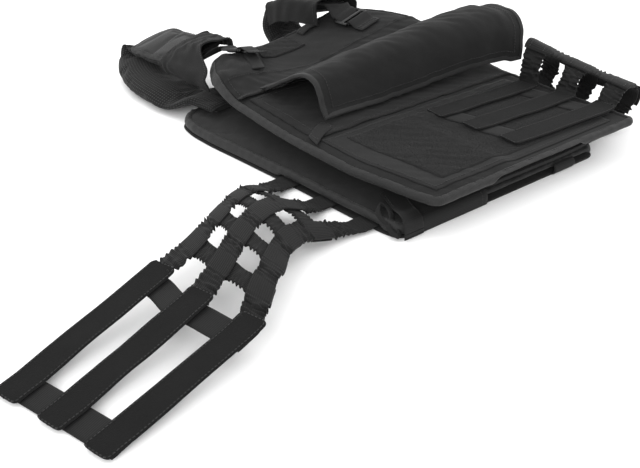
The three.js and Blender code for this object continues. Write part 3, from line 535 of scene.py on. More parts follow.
def piece(name, mesh, look, slot, *nodes):
    """Shows a mesh as a piece of the vest, in place of those frame nodes."""
    obj = bpy.data.objects.new(name, mesh)
    bpy.context.scene.collection.objects.link(obj)
    for material in look if isinstance(look, list) else [look]:
        mesh.materials.append(material)
    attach(obj, "root")
    if nodes:
        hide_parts(*nodes)
    return obj


def size_of(points):
    """The flat width and length of a grid of points, in metres."""
    return run_lengths(points, 1)[-1] * MM, run_lengths(points, 0)[-1] * MM


def cloth_sheet(name, top, bottom, look, slot, nodes):
    """A closed sheet of cloth between two grids of points, whose flat size is measured."""
    obj = piece(name, slab_mesh(name, top, bottom), look, slot, *nodes)
    width, length = size_of(mix(top, bottom, 0.5))


def add_node(tree, kind, settings=None, inputs=None):
    """Adds a node with its settings, and its inputs as values, sockets or whole nodes."""
    node = tree.nodes.new(kind)
    for name, value in (settings or {}).items():
        setattr(node, name, value)
    for name, value in (inputs or {}).items():
        if isinstance(value, bpy.types.Node):
            value = value.outputs[0]
        if isinstance(value, bpy.types.NodeSocket):
            tree.links.new(value, node.inputs[name])
        else:
            node.inputs[name].default_value = value
    return node


WAVE_PERIOD = 2 * math.pi / 20  # a wave texture of scale 1 repeats over this length
ACROSS = {"bands_direction": "X"}
ALONG = {"bands_direction": "Y"}


def new_material(name, tint, pattern, contrast, roughness, sheen, specular, bump, relief=0.0004):
    """A material whose pattern gives its tone, from dark to light, and the height of its surface."""
    material = bpy.data.materials.new(name)
    material.use_nodes = True
    tree = material.node_tree
    tree.nodes.clear()
    places = add_node(tree, "ShaderNodeTexCoord")
    tone, height = pattern(tree, places.outputs["UV"], places.outputs["Object"])
    dark, light = ([*(min(c * share, 1) for c in tint), 1] for share in contrast)
    colours = add_node(tree, "ShaderNodeMix", {"data_type": "RGBA"}, {0: tone, 6: dark, 7: light})
    normal = add_node(tree, "ShaderNodeBump", None, {
        "Strength": bump, "Distance": relief, "Height": height})
    shader = add_node(tree, "ShaderNodeBsdfPrincipled", None, {
        "Base Color": colours.outputs[2], "Roughness": roughness, "Sheen Weight": sheen,
        "Sheen Roughness": 0.5, "Specular IOR Level": specular, "Normal": normal,
    })
    add_node(tree, "ShaderNodeOutputMaterial", None, {"Surface": shader})
    material.diffuse_color = (*tint, 1)
    return material


def woven(thread, patches=0.06):
    """A plain weave: crossed bands, with slow patches where the cloth is rubbed or dusty."""
    def pattern(tree, uv, place):
        warp = add_node(tree, "ShaderNodeTexWave", ACROSS, {
            "Vector": uv, "Scale": WAVE_PERIOD / thread, "Distortion": 1.2, "Detail": 1.0})
        weft = add_node(tree, "ShaderNodeTexWave", ALONG, {
            "Vector": uv, "Scale": WAVE_PERIOD / thread, "Distortion": 1.2, "Detail": 1.0})
        weave = add_node(tree, "ShaderNodeMath", {"operation": "MULTIPLY"}, {0: warp, 1: weft})
        cloudy = add_node(tree, "ShaderNodeTexNoise", None, {
            "Vector": place, "Scale": 1 / patches, "Detail": 5.0, "Roughness": 0.6})
        grain = add_node(tree, "ShaderNodeTexNoise", None, {"Vector": place, "Scale": 560.0, "Detail": 2.0})
        tone = add_node(tree, "ShaderNodeMix", None, {0: 0.3, 2: cloudy, 3: grain})
        height = add_node(tree, "ShaderNodeMath", {"operation": "MULTIPLY_ADD"}, {
            0: grain, 1: 0.6, 2: weave})
        return tone, height
    return pattern


def ribbed(pitch, direction):
    """Ribs across one direction of a tape, as in grosgrain, webbing and braid."""
    def pattern(tree, uv, place):
        ribs = add_node(tree, "ShaderNodeTexWave", direction, {
            "Vector": uv, "Scale": WAVE_PERIOD / pitch, "Distortion": 0.6, "Detail": 1.0})
        cloudy = add_node(tree, "ShaderNodeTexNoise", None, {"Vector": place, "Scale": 33.0, "Detail": 4.0})
        grain = add_node(tree, "ShaderNodeTexNoise", None, {"Vector": place, "Scale": 620.0, "Detail": 2.0})
        tone = add_node(tree, "ShaderNodeMix", None, {0: 0.35, 2: cloudy, 3: ribs})
        height = add_node(tree, "ShaderNodeMath", {"operation": "MULTIPLY_ADD"}, {
            0: grain, 1: 0.5, 2: ribs})
        return tone, height
    return pattern


def tufted(size):
    """A pile of small loops or hooks: grains with dark between them, pressed in slow patches."""
    def pattern(tree, uv, place):
        cells = add_node(tree, "ShaderNodeTexVoronoi", {"feature": "F1"}, {
            "Vector": place, "Scale": 1 / size})
        cloudy = add_node(tree, "ShaderNodeTexNoise", None, {
            "Vector": place, "Scale": 45.0, "Detail": 5.0, "Roughness": 0.7})
        grain = add_node(tree, "ShaderNodeTexNoise", None, {
            "Vector": place, "Scale": 1.6 / size, "Detail": 2.0})
        tone = add_node(tree, "ShaderNodeMix", None, {0: 0.35, 2: cloudy, 3: grain})
        height = add_node(tree, "ShaderNodeMath", {"operation": "SUBTRACT"}, {0: grain, 1: cells})
        return tone, height
    return pattern


def knit_and_hole_shade(size):
    """Spacer mesh: raised knots in crossed rows, with painted shade darkening the holes between them."""
    def pattern(tree, uv, place):
        rows = add_node(tree, "ShaderNodeTexWave", ALONG, {
            "Vector": uv, "Scale": WAVE_PERIOD / size, "Distortion": 0.5})
        columns = add_node(tree, "ShaderNodeTexWave", ACROSS, {
            "Vector": uv, "Scale": WAVE_PERIOD / size, "Distortion": 0.5})
        knots = add_node(tree, "ShaderNodeMath", {"operation": "MULTIPLY"}, {0: rows, 1: columns})
        # The same mask raises the knots and paints shade into the holes between them, as their tone.
        solid = add_node(tree, "ShaderNodeMapRange", {"interpolation_type": "SMOOTHSTEP"}, {
            "Value": knots, "From Min": 0.25, "From Max": 0.7})
        return solid, solid
    return pattern


def moulded(tree, uv, place):
    """A faint even grain, as on spark-eroded plastic and on paper."""
    grain = add_node(tree, "ShaderNodeTexNoise", None, {"Vector": place, "Scale": 1200.0, "Detail": 2.0})
    cloudy = add_node(tree, "ShaderNodeTexNoise", None, {"Vector": place, "Scale": 50.0, "Detail": 3.0})
    return cloudy, grain


FINISH_NAMES = {
    "cloth": "Woven nylon", "lining": "Smooth nylon lining", "tape": "Grosgrain edging tape",
    "pile": "Loop pile", "hook": "Hook tape", "webbing": "Woven nylon webbing",
    "elastic": "Braided elastic", "padding": "Coated pad cloth", "mesh": "Knitted spacer mesh",
    "plastic": "Moulded acetal", "thread": "Bonded nylon thread", "floor": "Matte paper floor",
}


def finish(kind):
    """The material of a finish, made when it is first asked for."""
    return bpy.data.materials.get(FINISH_NAMES[kind]) or make_finish(kind)


def make_finish(kind):
    """A new material for a finish, in its colour from the panel."""
    tint = tuple(getattr(bpy.context.scene.vest_colours, kind))
    thread = bpy.context.scene.vest_sizes.thread
    # Real threads are about 0.5 mm apart, too fine to show, so the weaves are drawn coarser.
    looks = {
        # A dry, slightly uneven black that keeps its grain where light rakes over it.
        "cloth": (woven(thread), (0.72, 1.3), 0.8, 0.036, 0.15, 0.5),
        # Smoother than the cloth, so the slope of the panel shows as a long soft gradient.
        "lining": (woven(thread * 0.8, 0.09), (0.75, 1.25), 0.72, 0.05, 0.24, 0.25),
        # A thin light line along the edges, with crosswise ribs.
        "tape": (ribbed(thread, ALONG), (0.75, 1.25), 0.66, 0.05, 0.26, 0.35),
        # Loops about 1 mm apart trap the light and show where the pile was pressed.
        "pile": (tufted(0.0012), (0.7, 1.35), 0.95, 0.06, 0.1, 0.5),
        # Hooks about 1 mm apart, the darkest and driest surface.
        "hook": (tufted(0.001), (0.6, 1.45), 0.85, 0.03, 0.14, 0.5),
        # Flat bands, a little glossier than the cloth round them.
        "webbing": (ribbed(thread * 1.1, ALONG), (0.75, 1.25), 0.64, 0.035, 0.16, 0.35),
        # Lengthwise ribs about 2 mm apart, from the rubber cords inside.
        "elastic": (ribbed(0.0021, ACROSS), (0.65, 1.35), 0.68, 0.035, 0.15, 0.6),
        # The one cloth with a soft gloss, on the outer side of the shoulder pads.
        "padding": (woven(thread), (0.7, 1.35), 0.55, 0.03, 0.22, 0.3),
        # Rows of small light knots over holes darkened with painted shade, 3.4 mm apart, about the pitch at
        # which spacer mesh is knit.
        "mesh": (knit_and_hole_shade(0.0034), (0.45, 2.7), 0.8, 0.05, 0.16, 0.9, 0.0009),
        # Satin black plastic, with sharper highlights than any cloth.
        "plastic": (moulded, (0.85, 1.2), 0.38, 0.0, 0.5, 0.08, 0.0002),
        # Fine dashes of light along the seams.
        "thread": (ribbed(0.0006, ALONG), (0.85, 1.15), 0.5, 0.08, 0.3, 0.2),
        # A matte white that takes only soft, faint shadows.
        "floor": (moulded, (0.99, 1.0), 0.9, 0.0, 0.1, 0.02),
    }
    return new_material(FINISH_NAMES[kind], tint, *looks[kind])


def new_tree(name, sizes):
    """An empty geometry tree with those named inputs, and its input and output nodes."""
    tree = bpy.data.node_groups.new(name, "GeometryNodeTree")
    tree.interface.new_socket("Geometry", in_out="INPUT", socket_type="NodeSocketGeometry")
    for label, kind in sizes:
        tree.interface.new_socket(label, in_out="INPUT", socket_type=kind)
    tree.interface.new_socket("Geometry", in_out="OUTPUT", socket_type="NodeSocketGeometry")
    return tree, add_node(tree, "NodeGroupInput")


def close_tree(tree, geometry, material):
    """Ends a tree in real faces with their material."""
    real = add_node(tree, "GeometryNodeRealizeInstances", None, {"Geometry": geometry})
    dressed = add_node(tree, "GeometryNodeSetMaterial", None, {"Geometry": real, "Material": material})
    add_node(tree, "NodeGroupOutput", None, {"Geometry": dressed})


def stitch_tree():
    """Geometry nodes that lay small thread ovals end to end along the edges of a mesh."""
    found = bpy.data.node_groups.get("Sewn stitches")
    if found:
        return found
    tree, given = new_tree("Sewn stitches", [
        ("Pitch", "NodeSocketFloat"), ("Length", "NodeSocketFloat"), ("Width", "NodeSocketFloat"),
        ("Material", "NodeSocketMaterial"),
    ])
    give = given.outputs
    path = add_node(tree, "GeometryNodeMeshToCurve", None, {"Mesh": give["Geometry"]})
    points = add_node(tree, "GeometryNodeResampleCurve", {"mode": "LENGTH"},
                      {"Curve": path, "Length": give["Pitch"]})
    stitch = add_node(tree, "GeometryNodeMeshUVSphere", None, {"Segments": 6, "Rings": 4, "Radius": 0.5})
    tangent = add_node(tree, "GeometryNodeInputTangent")
    turn = add_node(tree, "FunctionNodeAlignRotationToVector", {"axis": "Z"}, {"Vector": tangent})
    size = add_node(tree, "ShaderNodeCombineXYZ", None, {
        0: give["Width"], 1: give["Width"], 2: give["Length"]})
    laid = add_node(tree, "GeometryNodeInstanceOnPoints", None, {
        "Points": points, "Instance": stitch, "Rotation": turn, "Scale": size})
    close_tree(tree, laid, give["Material"])
    return tree


def pile_tree():
    """Geometry nodes that stand small tufts on a mesh, at scattered places and angles."""
    found = bpy.data.node_groups.get("Standing pile")
    if found:
        return found
    tree, given = new_tree("Standing pile", [
        ("Density", "NodeSocketFloat"), ("Height", "NodeSocketFloat"), ("Radius", "NodeSocketFloat"),
        ("Lean", "NodeSocketFloat"), ("Material", "NodeSocketMaterial"),
    ])
    give = given.outputs
    points = add_node(tree, "GeometryNodeDistributePointsOnFaces", None,
                      {"Mesh": give["Geometry"], "Density": give["Density"], "Seed": 7})
    tuft = add_node(tree, "GeometryNodeMeshCone", {"fill_type": "NONE"},
                    {"Vertices": 3, "Radius Top": 0.25, "Radius Bottom": 1.0, "Depth": 1.0})
    most = add_node(tree, "ShaderNodeCombineXYZ", None, {0: give["Lean"], 1: give["Lean"], 2: math.pi})
    least = add_node(tree, "ShaderNodeVectorMath", {"operation": "SCALE"}, {0: most, "Scale": -1.0})
    lean = add_node(tree, "FunctionNodeRandomValue", {"data_type": "FLOAT_VECTOR"},
                    {0: least, 1: most, "Seed": 3})
    euler = add_node(tree, "FunctionNodeEulerToRotation", None, {0: lean})
    turn = add_node(tree, "FunctionNodeRotateRotation", {"rotation_space": "LOCAL"},
                    {0: points.outputs["Rotation"], 1: euler})
    size = add_node(tree, "ShaderNodeCombineXYZ", None,
                    {0: give["Radius"], 1: give["Radius"], 2: give["Height"]})
    stood = add_node(tree, "GeometryNodeInstanceOnPoints", None, {
        "Points": points, "Instance": tuft, "Rotation": turn, "Scale": size})
    close_tree(tree, stood, give["Material"])
    return tree


def baked(name, source, tree, values):
    """Shows the result of a geometry tree on a mesh as a plain piece."""
    carrier = bpy.data.objects.new(name + "_source", source)
    bpy.context.scene.collection.objects.link(carrier)
    modifier = carrier.modifiers.new("Build", "NODES")
    modifier.node_group = tree
    for item in tree.interface.items_tree:
        if item.in_out == "INPUT" and item.name in values:
            modifier[item.identifier] = values[item.name]
    result = carrier.evaluated_get(bpy.context.evaluated_depsgraph_get())
    mesh = bpy.data.meshes.new_from_object(result)
    bpy.data.objects.remove(carrier)
    mesh.name = name
    mesh.shade_smooth()
    obj = bpy.data.objects.new(name, mesh)
    bpy.context.scene.collection.objects.link(obj)
    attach(obj, "root")


def sew(name, paths, lift=0.25):
    """Stitches along paths of points in millimetres, raised a little off the cloth."""
    points, edges = [], []
    for path in paths:
        start = len(points)
        points += ((np.asarray(path) + [0, 0, lift]) * MM).tolist()
        edges += [(k, k + 1) for k in range(start, len(points) - 1)]
    mesh = bpy.data.meshes.new(name + "_path")
    mesh.from_pydata(points, edges, [])
    pitch = bpy.context.scene.vest_sizes.stitch
    baked(name, mesh, stitch_tree(), {
        "Pitch": pitch, "Length": pitch * STITCH_SHARE, "Width": STITCH_WIDTH, "Material": finish("thread"),
    })


def stand_pile(name, top, kind, density, lean=0.7):
    """Tufts on a grid of points: the pile or the hooks that stand on a tape."""
    faces, _ = grid_faces(*top.shape[:2])
    mesh = bpy.data.meshes.new(name + "_ground")
    mesh.from_pydata((top.reshape(-1, 3) * MM).tolist(), [], faces.tolist())
    height = bpy.context.scene.vest_sizes.pile
    baked(name, mesh, pile_tree(), {
        "Density": density, "Height": height, "Radius": TUFT_RADIUS, "Lean": lean, "Material": finish(kind),
    })


class Plan:
    """A panel's outline, from sections like the solids', with its lower corners rounded."""

    def __init__(self, sections, width, centre, below, above, corner):
        up, *sides = np.array(sections).T
        y = mix(-below, above, up)
        self.sides = [Curve(np.stack([centre + side * width / 2, y], -1)).line for side in sides]
        self.low, self.high, self.corner = -below, above, corner

    def edge(self, side, y, inset=0.0):
        """Where the left (0) or right (1) edge is at y, moved in by an inset."""
        x, heights = self.sides[side].T
        sign = 1 - 2 * side
        slope = np.clip(np.interp(y, heights, np.gradient(x, heights)), -1.5, 1.5)
        radius = max(self.corner - inset, 0.5)
        t = np.clip((self.low + inset + radius - y) / radius, 0, 1)
        shift = inset * np.sqrt(1 + slope**2) + radius * (1 - np.sqrt(1 - t * t))
        return np.interp(y, heights, x) + sign * shift

    def grid(self, across, up, inset=0.0):
        """Points over shares across and up the plan."""
        u, v = np.meshgrid(across, up)
        y = np.clip(mix(self.low, self.high, v), self.low + inset, self.high - inset)
        left, right = self.edge(0, y, inset), self.edge(1, y, inset)
        return mix(left, right, u), y

    def loop(self, count):
        """Points round the outline, clockwise from the lower left, and the directions inward."""
        y = mix(self.low, self.high, ends_close(120))
        left = np.stack([self.edge(0, y), y], -1)
        right = np.stack([self.edge(1, y), y], -1)[::-1]
        line = np.vstack([left, right, left[:1]])
        along = np.concatenate([[0], np.cumsum(np.linalg.norm(np.diff(line, axis=0), axis=1))])
        s = np.linspace(0, along[-1], count, endpoint=False)
        points = np.stack([np.interp(s, along, axis) for axis in line.T], -1)
        heading = unit(np.roll(points, -1, 0) - np.roll(points, 1, 0))
        return points, np.stack([heading[:, 1], -heading[:, 0]], -1), s


def ends_close(count, low=0.0, high=1.0):
    """Shares from low to high that lie closer together near both ends."""
    t = np.linspace(0, 1, count)
    return mix(low, high, mix(t, (1 - np.cos(t * math.pi)) / 2, 0.85))


def rounded(section, times=2):
    """A closed outline with its corners cut again and again, until it is soft."""
    points = np.asarray(section, float)
    for _ in range(times):
        following = np.roll(points, -1, 0)
        points = np.stack([mix(points, following, 0.25), mix(points, following, 0.75)], 1).reshape(-1, 2)
    return points


def at_height(x, y, z):
    """Points over places on the panel."""
    return np.stack(np.broadcast_arrays(x, y, z), -1)


BACK_PLAN = Plan(BACK_SECTIONS, BACK_WIDTH, 0, BACK_BELOW, BACK_ABOVE, BACK_CORNER)
FRONT_PLAN = Plan(FRONT_SECTIONS, FRONT_WIDTH, FRONT_SHIFT, FRONT_BELOW, FRONT_ABOVE, FRONT_CORNER)


def back_middle(x, y):
    """1 over the middle of the back panel, falling to 0 at its rim."""
    side = 1 - rise(0.55, 1, np.abs(x) / (BACK_WIDTH / 2))
    end = 1 - rise(0.55, 1, np.where(y > 0, y / BACK_ABOVE, -y / BACK_BELOW))
    return side * end


def back_height(x, y):
    """The top of the back panel's lining, a low dome."""
    return mix(BACK_LINER_RIM, BACK_CROWN, back_middle(x, y))


def edge_roll(plan, section, foot, top, width, count, pucker):
    """Rings of a rolled edge round a plan: a soft section that puckers a little along its seam."""
    points, inward, s = plan.loop(count)
    soft = rounded(section)
    tuck = pucker * (0.6 * np.sin(s * 6.28 / 13 + 2 * ripple(s, 0 * s, 60, 4)) + ripple(s, 0 * s, 45, 5))
    inset = soft[:, 0][None] * width - tuck[:, None] * 0.5 * (1 - soft[:, 0])[None]
    xy = points[:, None] + inward[:, None] * inset[..., None]
    z = mix(foot(*np.moveaxis(xy, -1, 0)), top(*np.moveaxis(xy, -1, 0)), soft[:, 1][None])
    z = z + tuck[:, None] * soft[:, 1][None]
    return np.concatenate([xy, z[..., None]], -1)


class VEST_OT_back_panel(bpy.types.Operator):
    """Build the back panel that everything lies on, with its lining, rolled edge and edge trim"""

    bl_idname = "vest.back_panel"
    bl_label = "Back panel"

    def execute(self, context):
        height = context.scene.vest_sizes.wrinkle / MM
        x, y = BACK_PLAN.grid(ends_close(60), ends_close(72))
        cloth_sheet("back_cover", at_height(x, y, CLOTH), at_height(x, y, 0), finish("cloth"), "cloth",
                    ["back_face"])
        x, y = BACK_PLAN.grid(ends_close(80), ends_close(90), BACK_EDGE + GAP)
        folds = 1 - back_middle(x, y)
        top = back_height(x, y) + height * folds * (ripple(x, y * 0.5, 46, 1) + 0.5 * ripple(x, y, 17, 2))
        cloth_sheet("back_lining", at_height(x, y, top), at_height(x, y, top - LINER), finish("lining"),
                    "liner", ["back_liner"])
        rings = edge_roll(BACK_PLAN, BACK_ROLL, back_foot, back_brim, BACK_EDGE, 420, 0.5)
        piece("back_rolled_edge", loft_mesh("back_rolled_edge", rings, closed=True), finish("tape"),
              "binding", "back_binding")
        points, inward, _ = BACK_PLAN.loop(360)
        seam = points + inward * BACK_EDGE * BACK_SEAM_IN
        sew("back_edge_seam", [np.column_stack([seam, np.full(len(seam), BACK_RIM - BACK_SEAM_DROP)])])
        build_edge_trim()
        build_corner_strap()
        for name, place in CORNER_SLOTS.items():
            self.corner_slot(name, *place)
        return {"FINISHED"}

    def corner_slot(self, name, centre, along, length, width):
        """A slot in the corner's cloth: a soft lip round a hollow, pointed at both ends."""
        along = unit(np.array(along, float))
        across = unit(np.cross(along, [0, 0, 1.0]))
        up = np.cross(across, along)
        turns = np.linspace(0, 2 * math.pi, 60, endpoint=False)
        rim = np.array(centre) + along * (np.cos(turns) * length / 2)[:, None]
        side = np.sign(np.sin(turns)) * np.abs(np.sin(turns)) ** 1.3
        rim = rim + across * (side * width / 2)[:, None]
        outward = unit(rim - np.array(centre))
        uneven = 1 + 0.25 * ripple(turns * 9, 0 * turns, 7, 27)
        rings = [rim + outward * a + up * (b * uneven)[:, None] for a, b in rounded(SLOT_LIP)]
        piece(name, loft_mesh(name, np.stack(rings, 1), closed=True), finish("cloth"), "cloth")


def back_brim(x, y):
    """How high the rolled edge reaches, the same all round."""
    return BACK_RIM + 0 * x


def back_foot(x, y):
    """How high the rolled edge starts: over the cover, the side slots or the open bottom."""
    slot = rise(-3, 3, SLOT_REACH - np.abs(y - SLOT_CENTRE_Y)) * (np.abs(x) > BACK_WIDTH * 0.4)
    left, right = (share * BACK_WIDTH / 2 for share in BACK_MOUTH)
    mouth = rise(-6, 6, x - left) * rise(-6, 6, right - x)
    mouth = mouth * (y < -BACK_BELOW + 8)
    return CLOTH + np.maximum(mix(GAP, SLOT_HEIGHT, slot), mix(GAP, BOTTOM_MOUTH, mouth))


def edge_wrap(left, right, rows, wall, count=46):
    """A strip over the back panel's bottom edge, by stations (inside, height or function, outward)."""
    x = np.linspace(left, right, 26)
    inner, outer = [], []
    for place in x:
        y = np.array([-BACK_BELOW + inside for inside, _, _ in rows])
        z = np.array([height(place, -BACK_BELOW + inside) if callable(height) else height
                      for inside, height, _ in rows])
        out = np.array([outward for *_, outward in rows])
        for face, up in ((inner, 0), (outer, wall)):
            line = Curve(np.stack([0 * y + place, y - out * up, z + (1 - out) * up], -1))
            face.append(line.at(np.linspace(0, 1, count)))
    return np.stack(outer, 1), np.stack(inner, 1)


def over_lining(x, y):
    """How high the folded flap lies over the back panel's lining."""
    return float(back_height(x, y)) + TUCK_LIFT


def build_edge_trim():
    """The flap folded over the bottom edge, and the webbing loop further right."""
    over_edge = BACK_RIM + 2 * LAYER_GAP
    outer, inner = edge_wrap(TUCK_LEFT, TUCK_RIGHT, [
        (TUCK_REACH, over_lining, 0), (TUCK_REACH / 2, over_lining, 0), (BACK_EDGE + 3, BACK_RIM + GAP, 0),
        (BACK_EDGE - 2, over_edge, 0), (2, over_edge, 0.2), (-TUCK_OUT, BACK_RIM * 0.8, 0.9),
        (-TUCK_OUT, 1, 1),
    ], TUCK_WALL)
    cloth_sheet("back_bottom_tuck", outer, inner, finish("webbing"), "cloth", ["back_bottom_flap"])
    sew("back_tuck_seams", [outer[:-3, 2], outer[:-3, -3], outer[2]])
    outer, inner = edge_wrap(EDGE_LOOP_LEFT, EDGE_LOOP_RIGHT, [
        (-LAYER_GAP, BACK_RIM * 0.86, 1), (-EDGE_LOOP_OUT, BACK_RIM * 0.65, 1),
        (-EDGE_LOOP_OUT, BACK_RIM * 0.3, 1), (-LAYER_GAP, 1.2, 1),
    ], WEBBING, 20)
    piece("back_edge_loop", slab_mesh("back_edge_loop", outer, inner), finish("webbing"), "webbing",
          "back_webbing_loop")


def build_corner_strap():
    """The webbing folded over the panel's lower left corner, its outer edge standing open."""
    path = [(x, y, float(back_height(x, y)) + up) for x, y, up in CORNER_STRAP]
    path += [(x, y, BACK_RIM + up) for x, y, up in CORNER_STRAP_END]
    top, bottom = band(path, lambda share: np.array([1, CORNER_STRAP_LEAN * (1 - share), 0]),
                       WEBBING_WIDTH, WEBBING - LAYER_GAP, 12, 110)
    share = np.linspace(0, 1, 110)[:, None]
    outer = np.clip(-np.linspace(-1, 1, 13)[None], 0, 1) ** 1.6
    stand = rise(0.3, 0.62, share) * (1 - rise(0.7, 0.98, share)) * outer
    lift = np.array(CORNER_STRAP_OPEN) * stand[..., None]
    top, bottom = top + lift, bottom + lift
    piece("back_corner_strap", slab_mesh("back_corner_strap", top, bottom), finish("webbing"), "webbing")
    sew("back_corner_seams", [top[:70, -2], top[12:40, 1]])


def strips_clear(x, y):
    """0 where the right hook strips lie on the front panel, so no wrinkle lifts it there."""
    return 1 - rise(*STRIPS_LEFT, x) * (1 - rise(*STRIPS_HIGH, y)) * rise(*STRIPS_LOW, y)


def front_middle(u, v):
    """1 over the middle of the front panel, falling to 0 at its sides and its neck."""
    across = 1 - rise(0.35, 1, np.abs(2 * u - 1))
    w = 2 * v - 1
    return across * np.where(w < 0, mix(1, 0.5, rise(0.6, 1, -w)), 1 - rise(0.35, 1, w))


def front_base(x, y):
    """The front panel's smooth surface, which rises to the neck and to the right ear."""
    return (FRONT_TOP + NECK_LIFT * rise(-0.2, 0.85, y / FRONT_ABOVE)
            + EAR_LIFT * rise(-0.08, 0.72, y / FRONT_ABOVE)
            * rise(-0.02, 0.92, (x - FRONT_SHIFT + EAR_SPREAD) / (FRONT_WIDTH / 2 + EAR_SPREAD)))


def front_softness(x, y):
    """How far the cloth stands above the smooth surface: plump edges, the left ear, wrinkles."""
    height = bpy.context.scene.vest_sizes.wrinkle / MM
    left = x - FRONT_PLAN.edge(0, y)
    right = FRONT_PLAN.edge(1, y) - x
    rim = rise(0, 18, left) * rise(0, 18, right)
    rim = rim * rise(0, 20, y + FRONT_BELOW) * rise(0, 16, FRONT_ABOVE - y)
    ear = rise(*EAR_LOW, y) * (1 - rise(*EAR_HIGH, y)) * rise(*EAR_OUTER, left) * (1 - rise(*EAR_INNER, left))
    folds = (0.35 + 0.65 * rim) * (0.8 * ripple(x * 0.5, y, 52, 11) + 0.4 * ripple(x, y, 19, 12))
    creases = ear * (1.8 * ripple(x, y, 34, 13) + 0.6 * ripple(x, y, 13, 14))
    return strips_clear(x, y) * (FRONT_PLUMP * rim + height * folds) + EAR_PLUMP * ear + creases


def front_height(x, y):
    """The top of the front panel's cover."""
    return front_base(x, y) + front_softness(x, y)


def front_layer(name, across, up, wall, kind, slot, nodes, columns=70, rows=40, lip=0.0):
    """A cloth layer over part of the front panel, its edges standing up a little, most at the left."""
    lower, upper = LIP_RUN
    x, y = FRONT_PLAN.grid(np.linspace(*across, columns), np.linspace(*up, rows), FRONT_EDGE + GAP)
    wavy = 0.55 + 0.45 * ripple(x, 0 * y, 40, rows)
    stand = 1 - rise(0, lower, y - y.min(axis=0)) + 0.5 * (1 - rise(0, upper, y.max(axis=0) - y))
    left = 1 + 0.6 * (1 - rise(0, LIP_LEFT, x - x.min()))
    z = front_height(x, y) + lip * np.maximum(wavy, 0.1) * stand * left
    top = at_height(x, y, z + (GAP + wall))
    cloth_sheet(name, top, at_height(x, y, z + GAP), finish(kind), slot, nodes)
    return top


def front_foot(x, y):
    """How low the rolled edge reaches: past the lining's rim, but clear of the pocket's mouth."""
    mouth = rise(*FRONT_MOUTH_LEFT, x) * (1 - rise(*FRONT_MOUTH_RIGHT, x))
    mouth = mouth * (1 - rise(*FRONT_MOUTH_TOP, y))
    return front_height(x, y) - mix(CLOTH + GAP + LINER, FRONT_MOUTH_FOOT, mouth)


def front_brim(x, y):
    """How high the rolled edge reaches above the cover."""
    return front_height(x, y) + FRONT_BRIM


class VEST_OT_front_panel(bpy.types.Operator):
    """Build the front panel: cover, lining, rolled edge, sewn cloth panels and pile fields"""

    bl_idname = "vest.front_panel"
    bl_label = "Front panel"

    def execute(self, context):
        inset = FRONT_EDGE + GAP
        across, up = ends_close(90), ends_close(110)
        x, y = FRONT_PLAN.grid(across, up, inset)
        z = front_height(x, y)
        cloth_sheet("front_cover", at_height(x, y, z), at_height(x, y, z - CLOTH), finish("cloth"), "cloth",
                    ["front_face"])
        u, v = np.meshgrid(across, up)
        rim = CLOTH + GAP + LINER
        deepest = FRONT_TOP - rim - BACK_CROWN - LAYER_GAP
        low = z - rim - deepest * front_middle(u, v)
        cloth_sheet("front_lining", at_height(x, y, low + LINER), at_height(x, y, low), finish("mesh"),
                    "liner", ["front_liner"])
        rings = edge_roll(FRONT_PLAN, FRONT_ROLL, front_foot, front_brim, FRONT_EDGE, 460, 0.35)
        piece("front_rolled_edge", loft_mesh("front_rolled_edge", rings, closed=True), finish("tape"),
              "binding", "front_binding")
        points, inward, _ = FRONT_PLAN.loop(420)
        seam = points + inward * FRONT_EDGE * FRONT_SEAM_IN
        sew("front_edge_seam", [at_height(*seam.T, front_height(*seam.T) + FRONT_SEAM_UP)])
        upper = front_layer("front_upper_cloth", *FRONT_LAYERS["upper"], PANEL, "cloth", "cloth",
                            ["front_upper_panel"], rows=30, columns=150, lip=UPPER_LIP)
        middle = front_layer("front_middle_cloth", *FRONT_LAYERS["middle"], PANEL, "cloth", "cloth",
                             ["front_middle_panel"], rows=60, lip=MIDDLE_LIP)
        tape = front_layer("front_field_tape", *FRONT_LAYERS["field"], FIELD_TAPE, "webbing", "webbing",
                           ["front_lower_field"])
        self.field_pile(tape)
        patch = front_layer("front_top_patch", *FRONT_LAYERS["patch"], FIELD, "pile", "pile",
                            ["front_top_field"], columns=40, rows=24)
        stand_pile("front_patch_pile", patch, "pile", PATCH_TUFTS)
        sew("front_cloth_seams", [upper[2, 2:-2], upper[-3, 2:-2], upper[2:-2, 2], middle[2, 2:-2],
                                  middle[-3, 2:-2], middle[4:-2, 2], middle[:, -3]])
        sew("front_field_seams", [tape[1, 1:-1], tape[-2, 1:-1], tape[1:-1, 1]])
        sew("front_patch_seams", [patch[1, 1:-1], patch[-2, 1:-1], patch[1:-1, 1], patch[1:-1, -2]])
        return {"FINISHED"}

    def field_pile(self, tape):
        """The pile inside the field's border of tape."""
        left, low = tape[0, 0, :2] + FIELD_BORDER
        right, high = tape[0, -1, 0], tape[-1, 0, 1] - FIELD_BORDER
        x, y = np.meshgrid(np.linspace(left + FIELD_SLANT, right - 2, 80), np.linspace(low, high, 60))
        slant = FIELD_SLANT * rise(low, low + 0.9 * (high - low), y)
        x = x - slant * (1 - (x - left - FIELD_SLANT) / (right - left))
        under, over = FIELD_PILE
        z = front_height(x, y) + GAP + FIELD_TAPE
        top = at_height(x, y, z + over)
        cloth_sheet("front_field_pile", top, at_height(x, y, z + under), finish("pile"), "pile", [])
        stand_pile("front_field_tufts", top[:, :-1], "pile", FIELD_TUFTS)


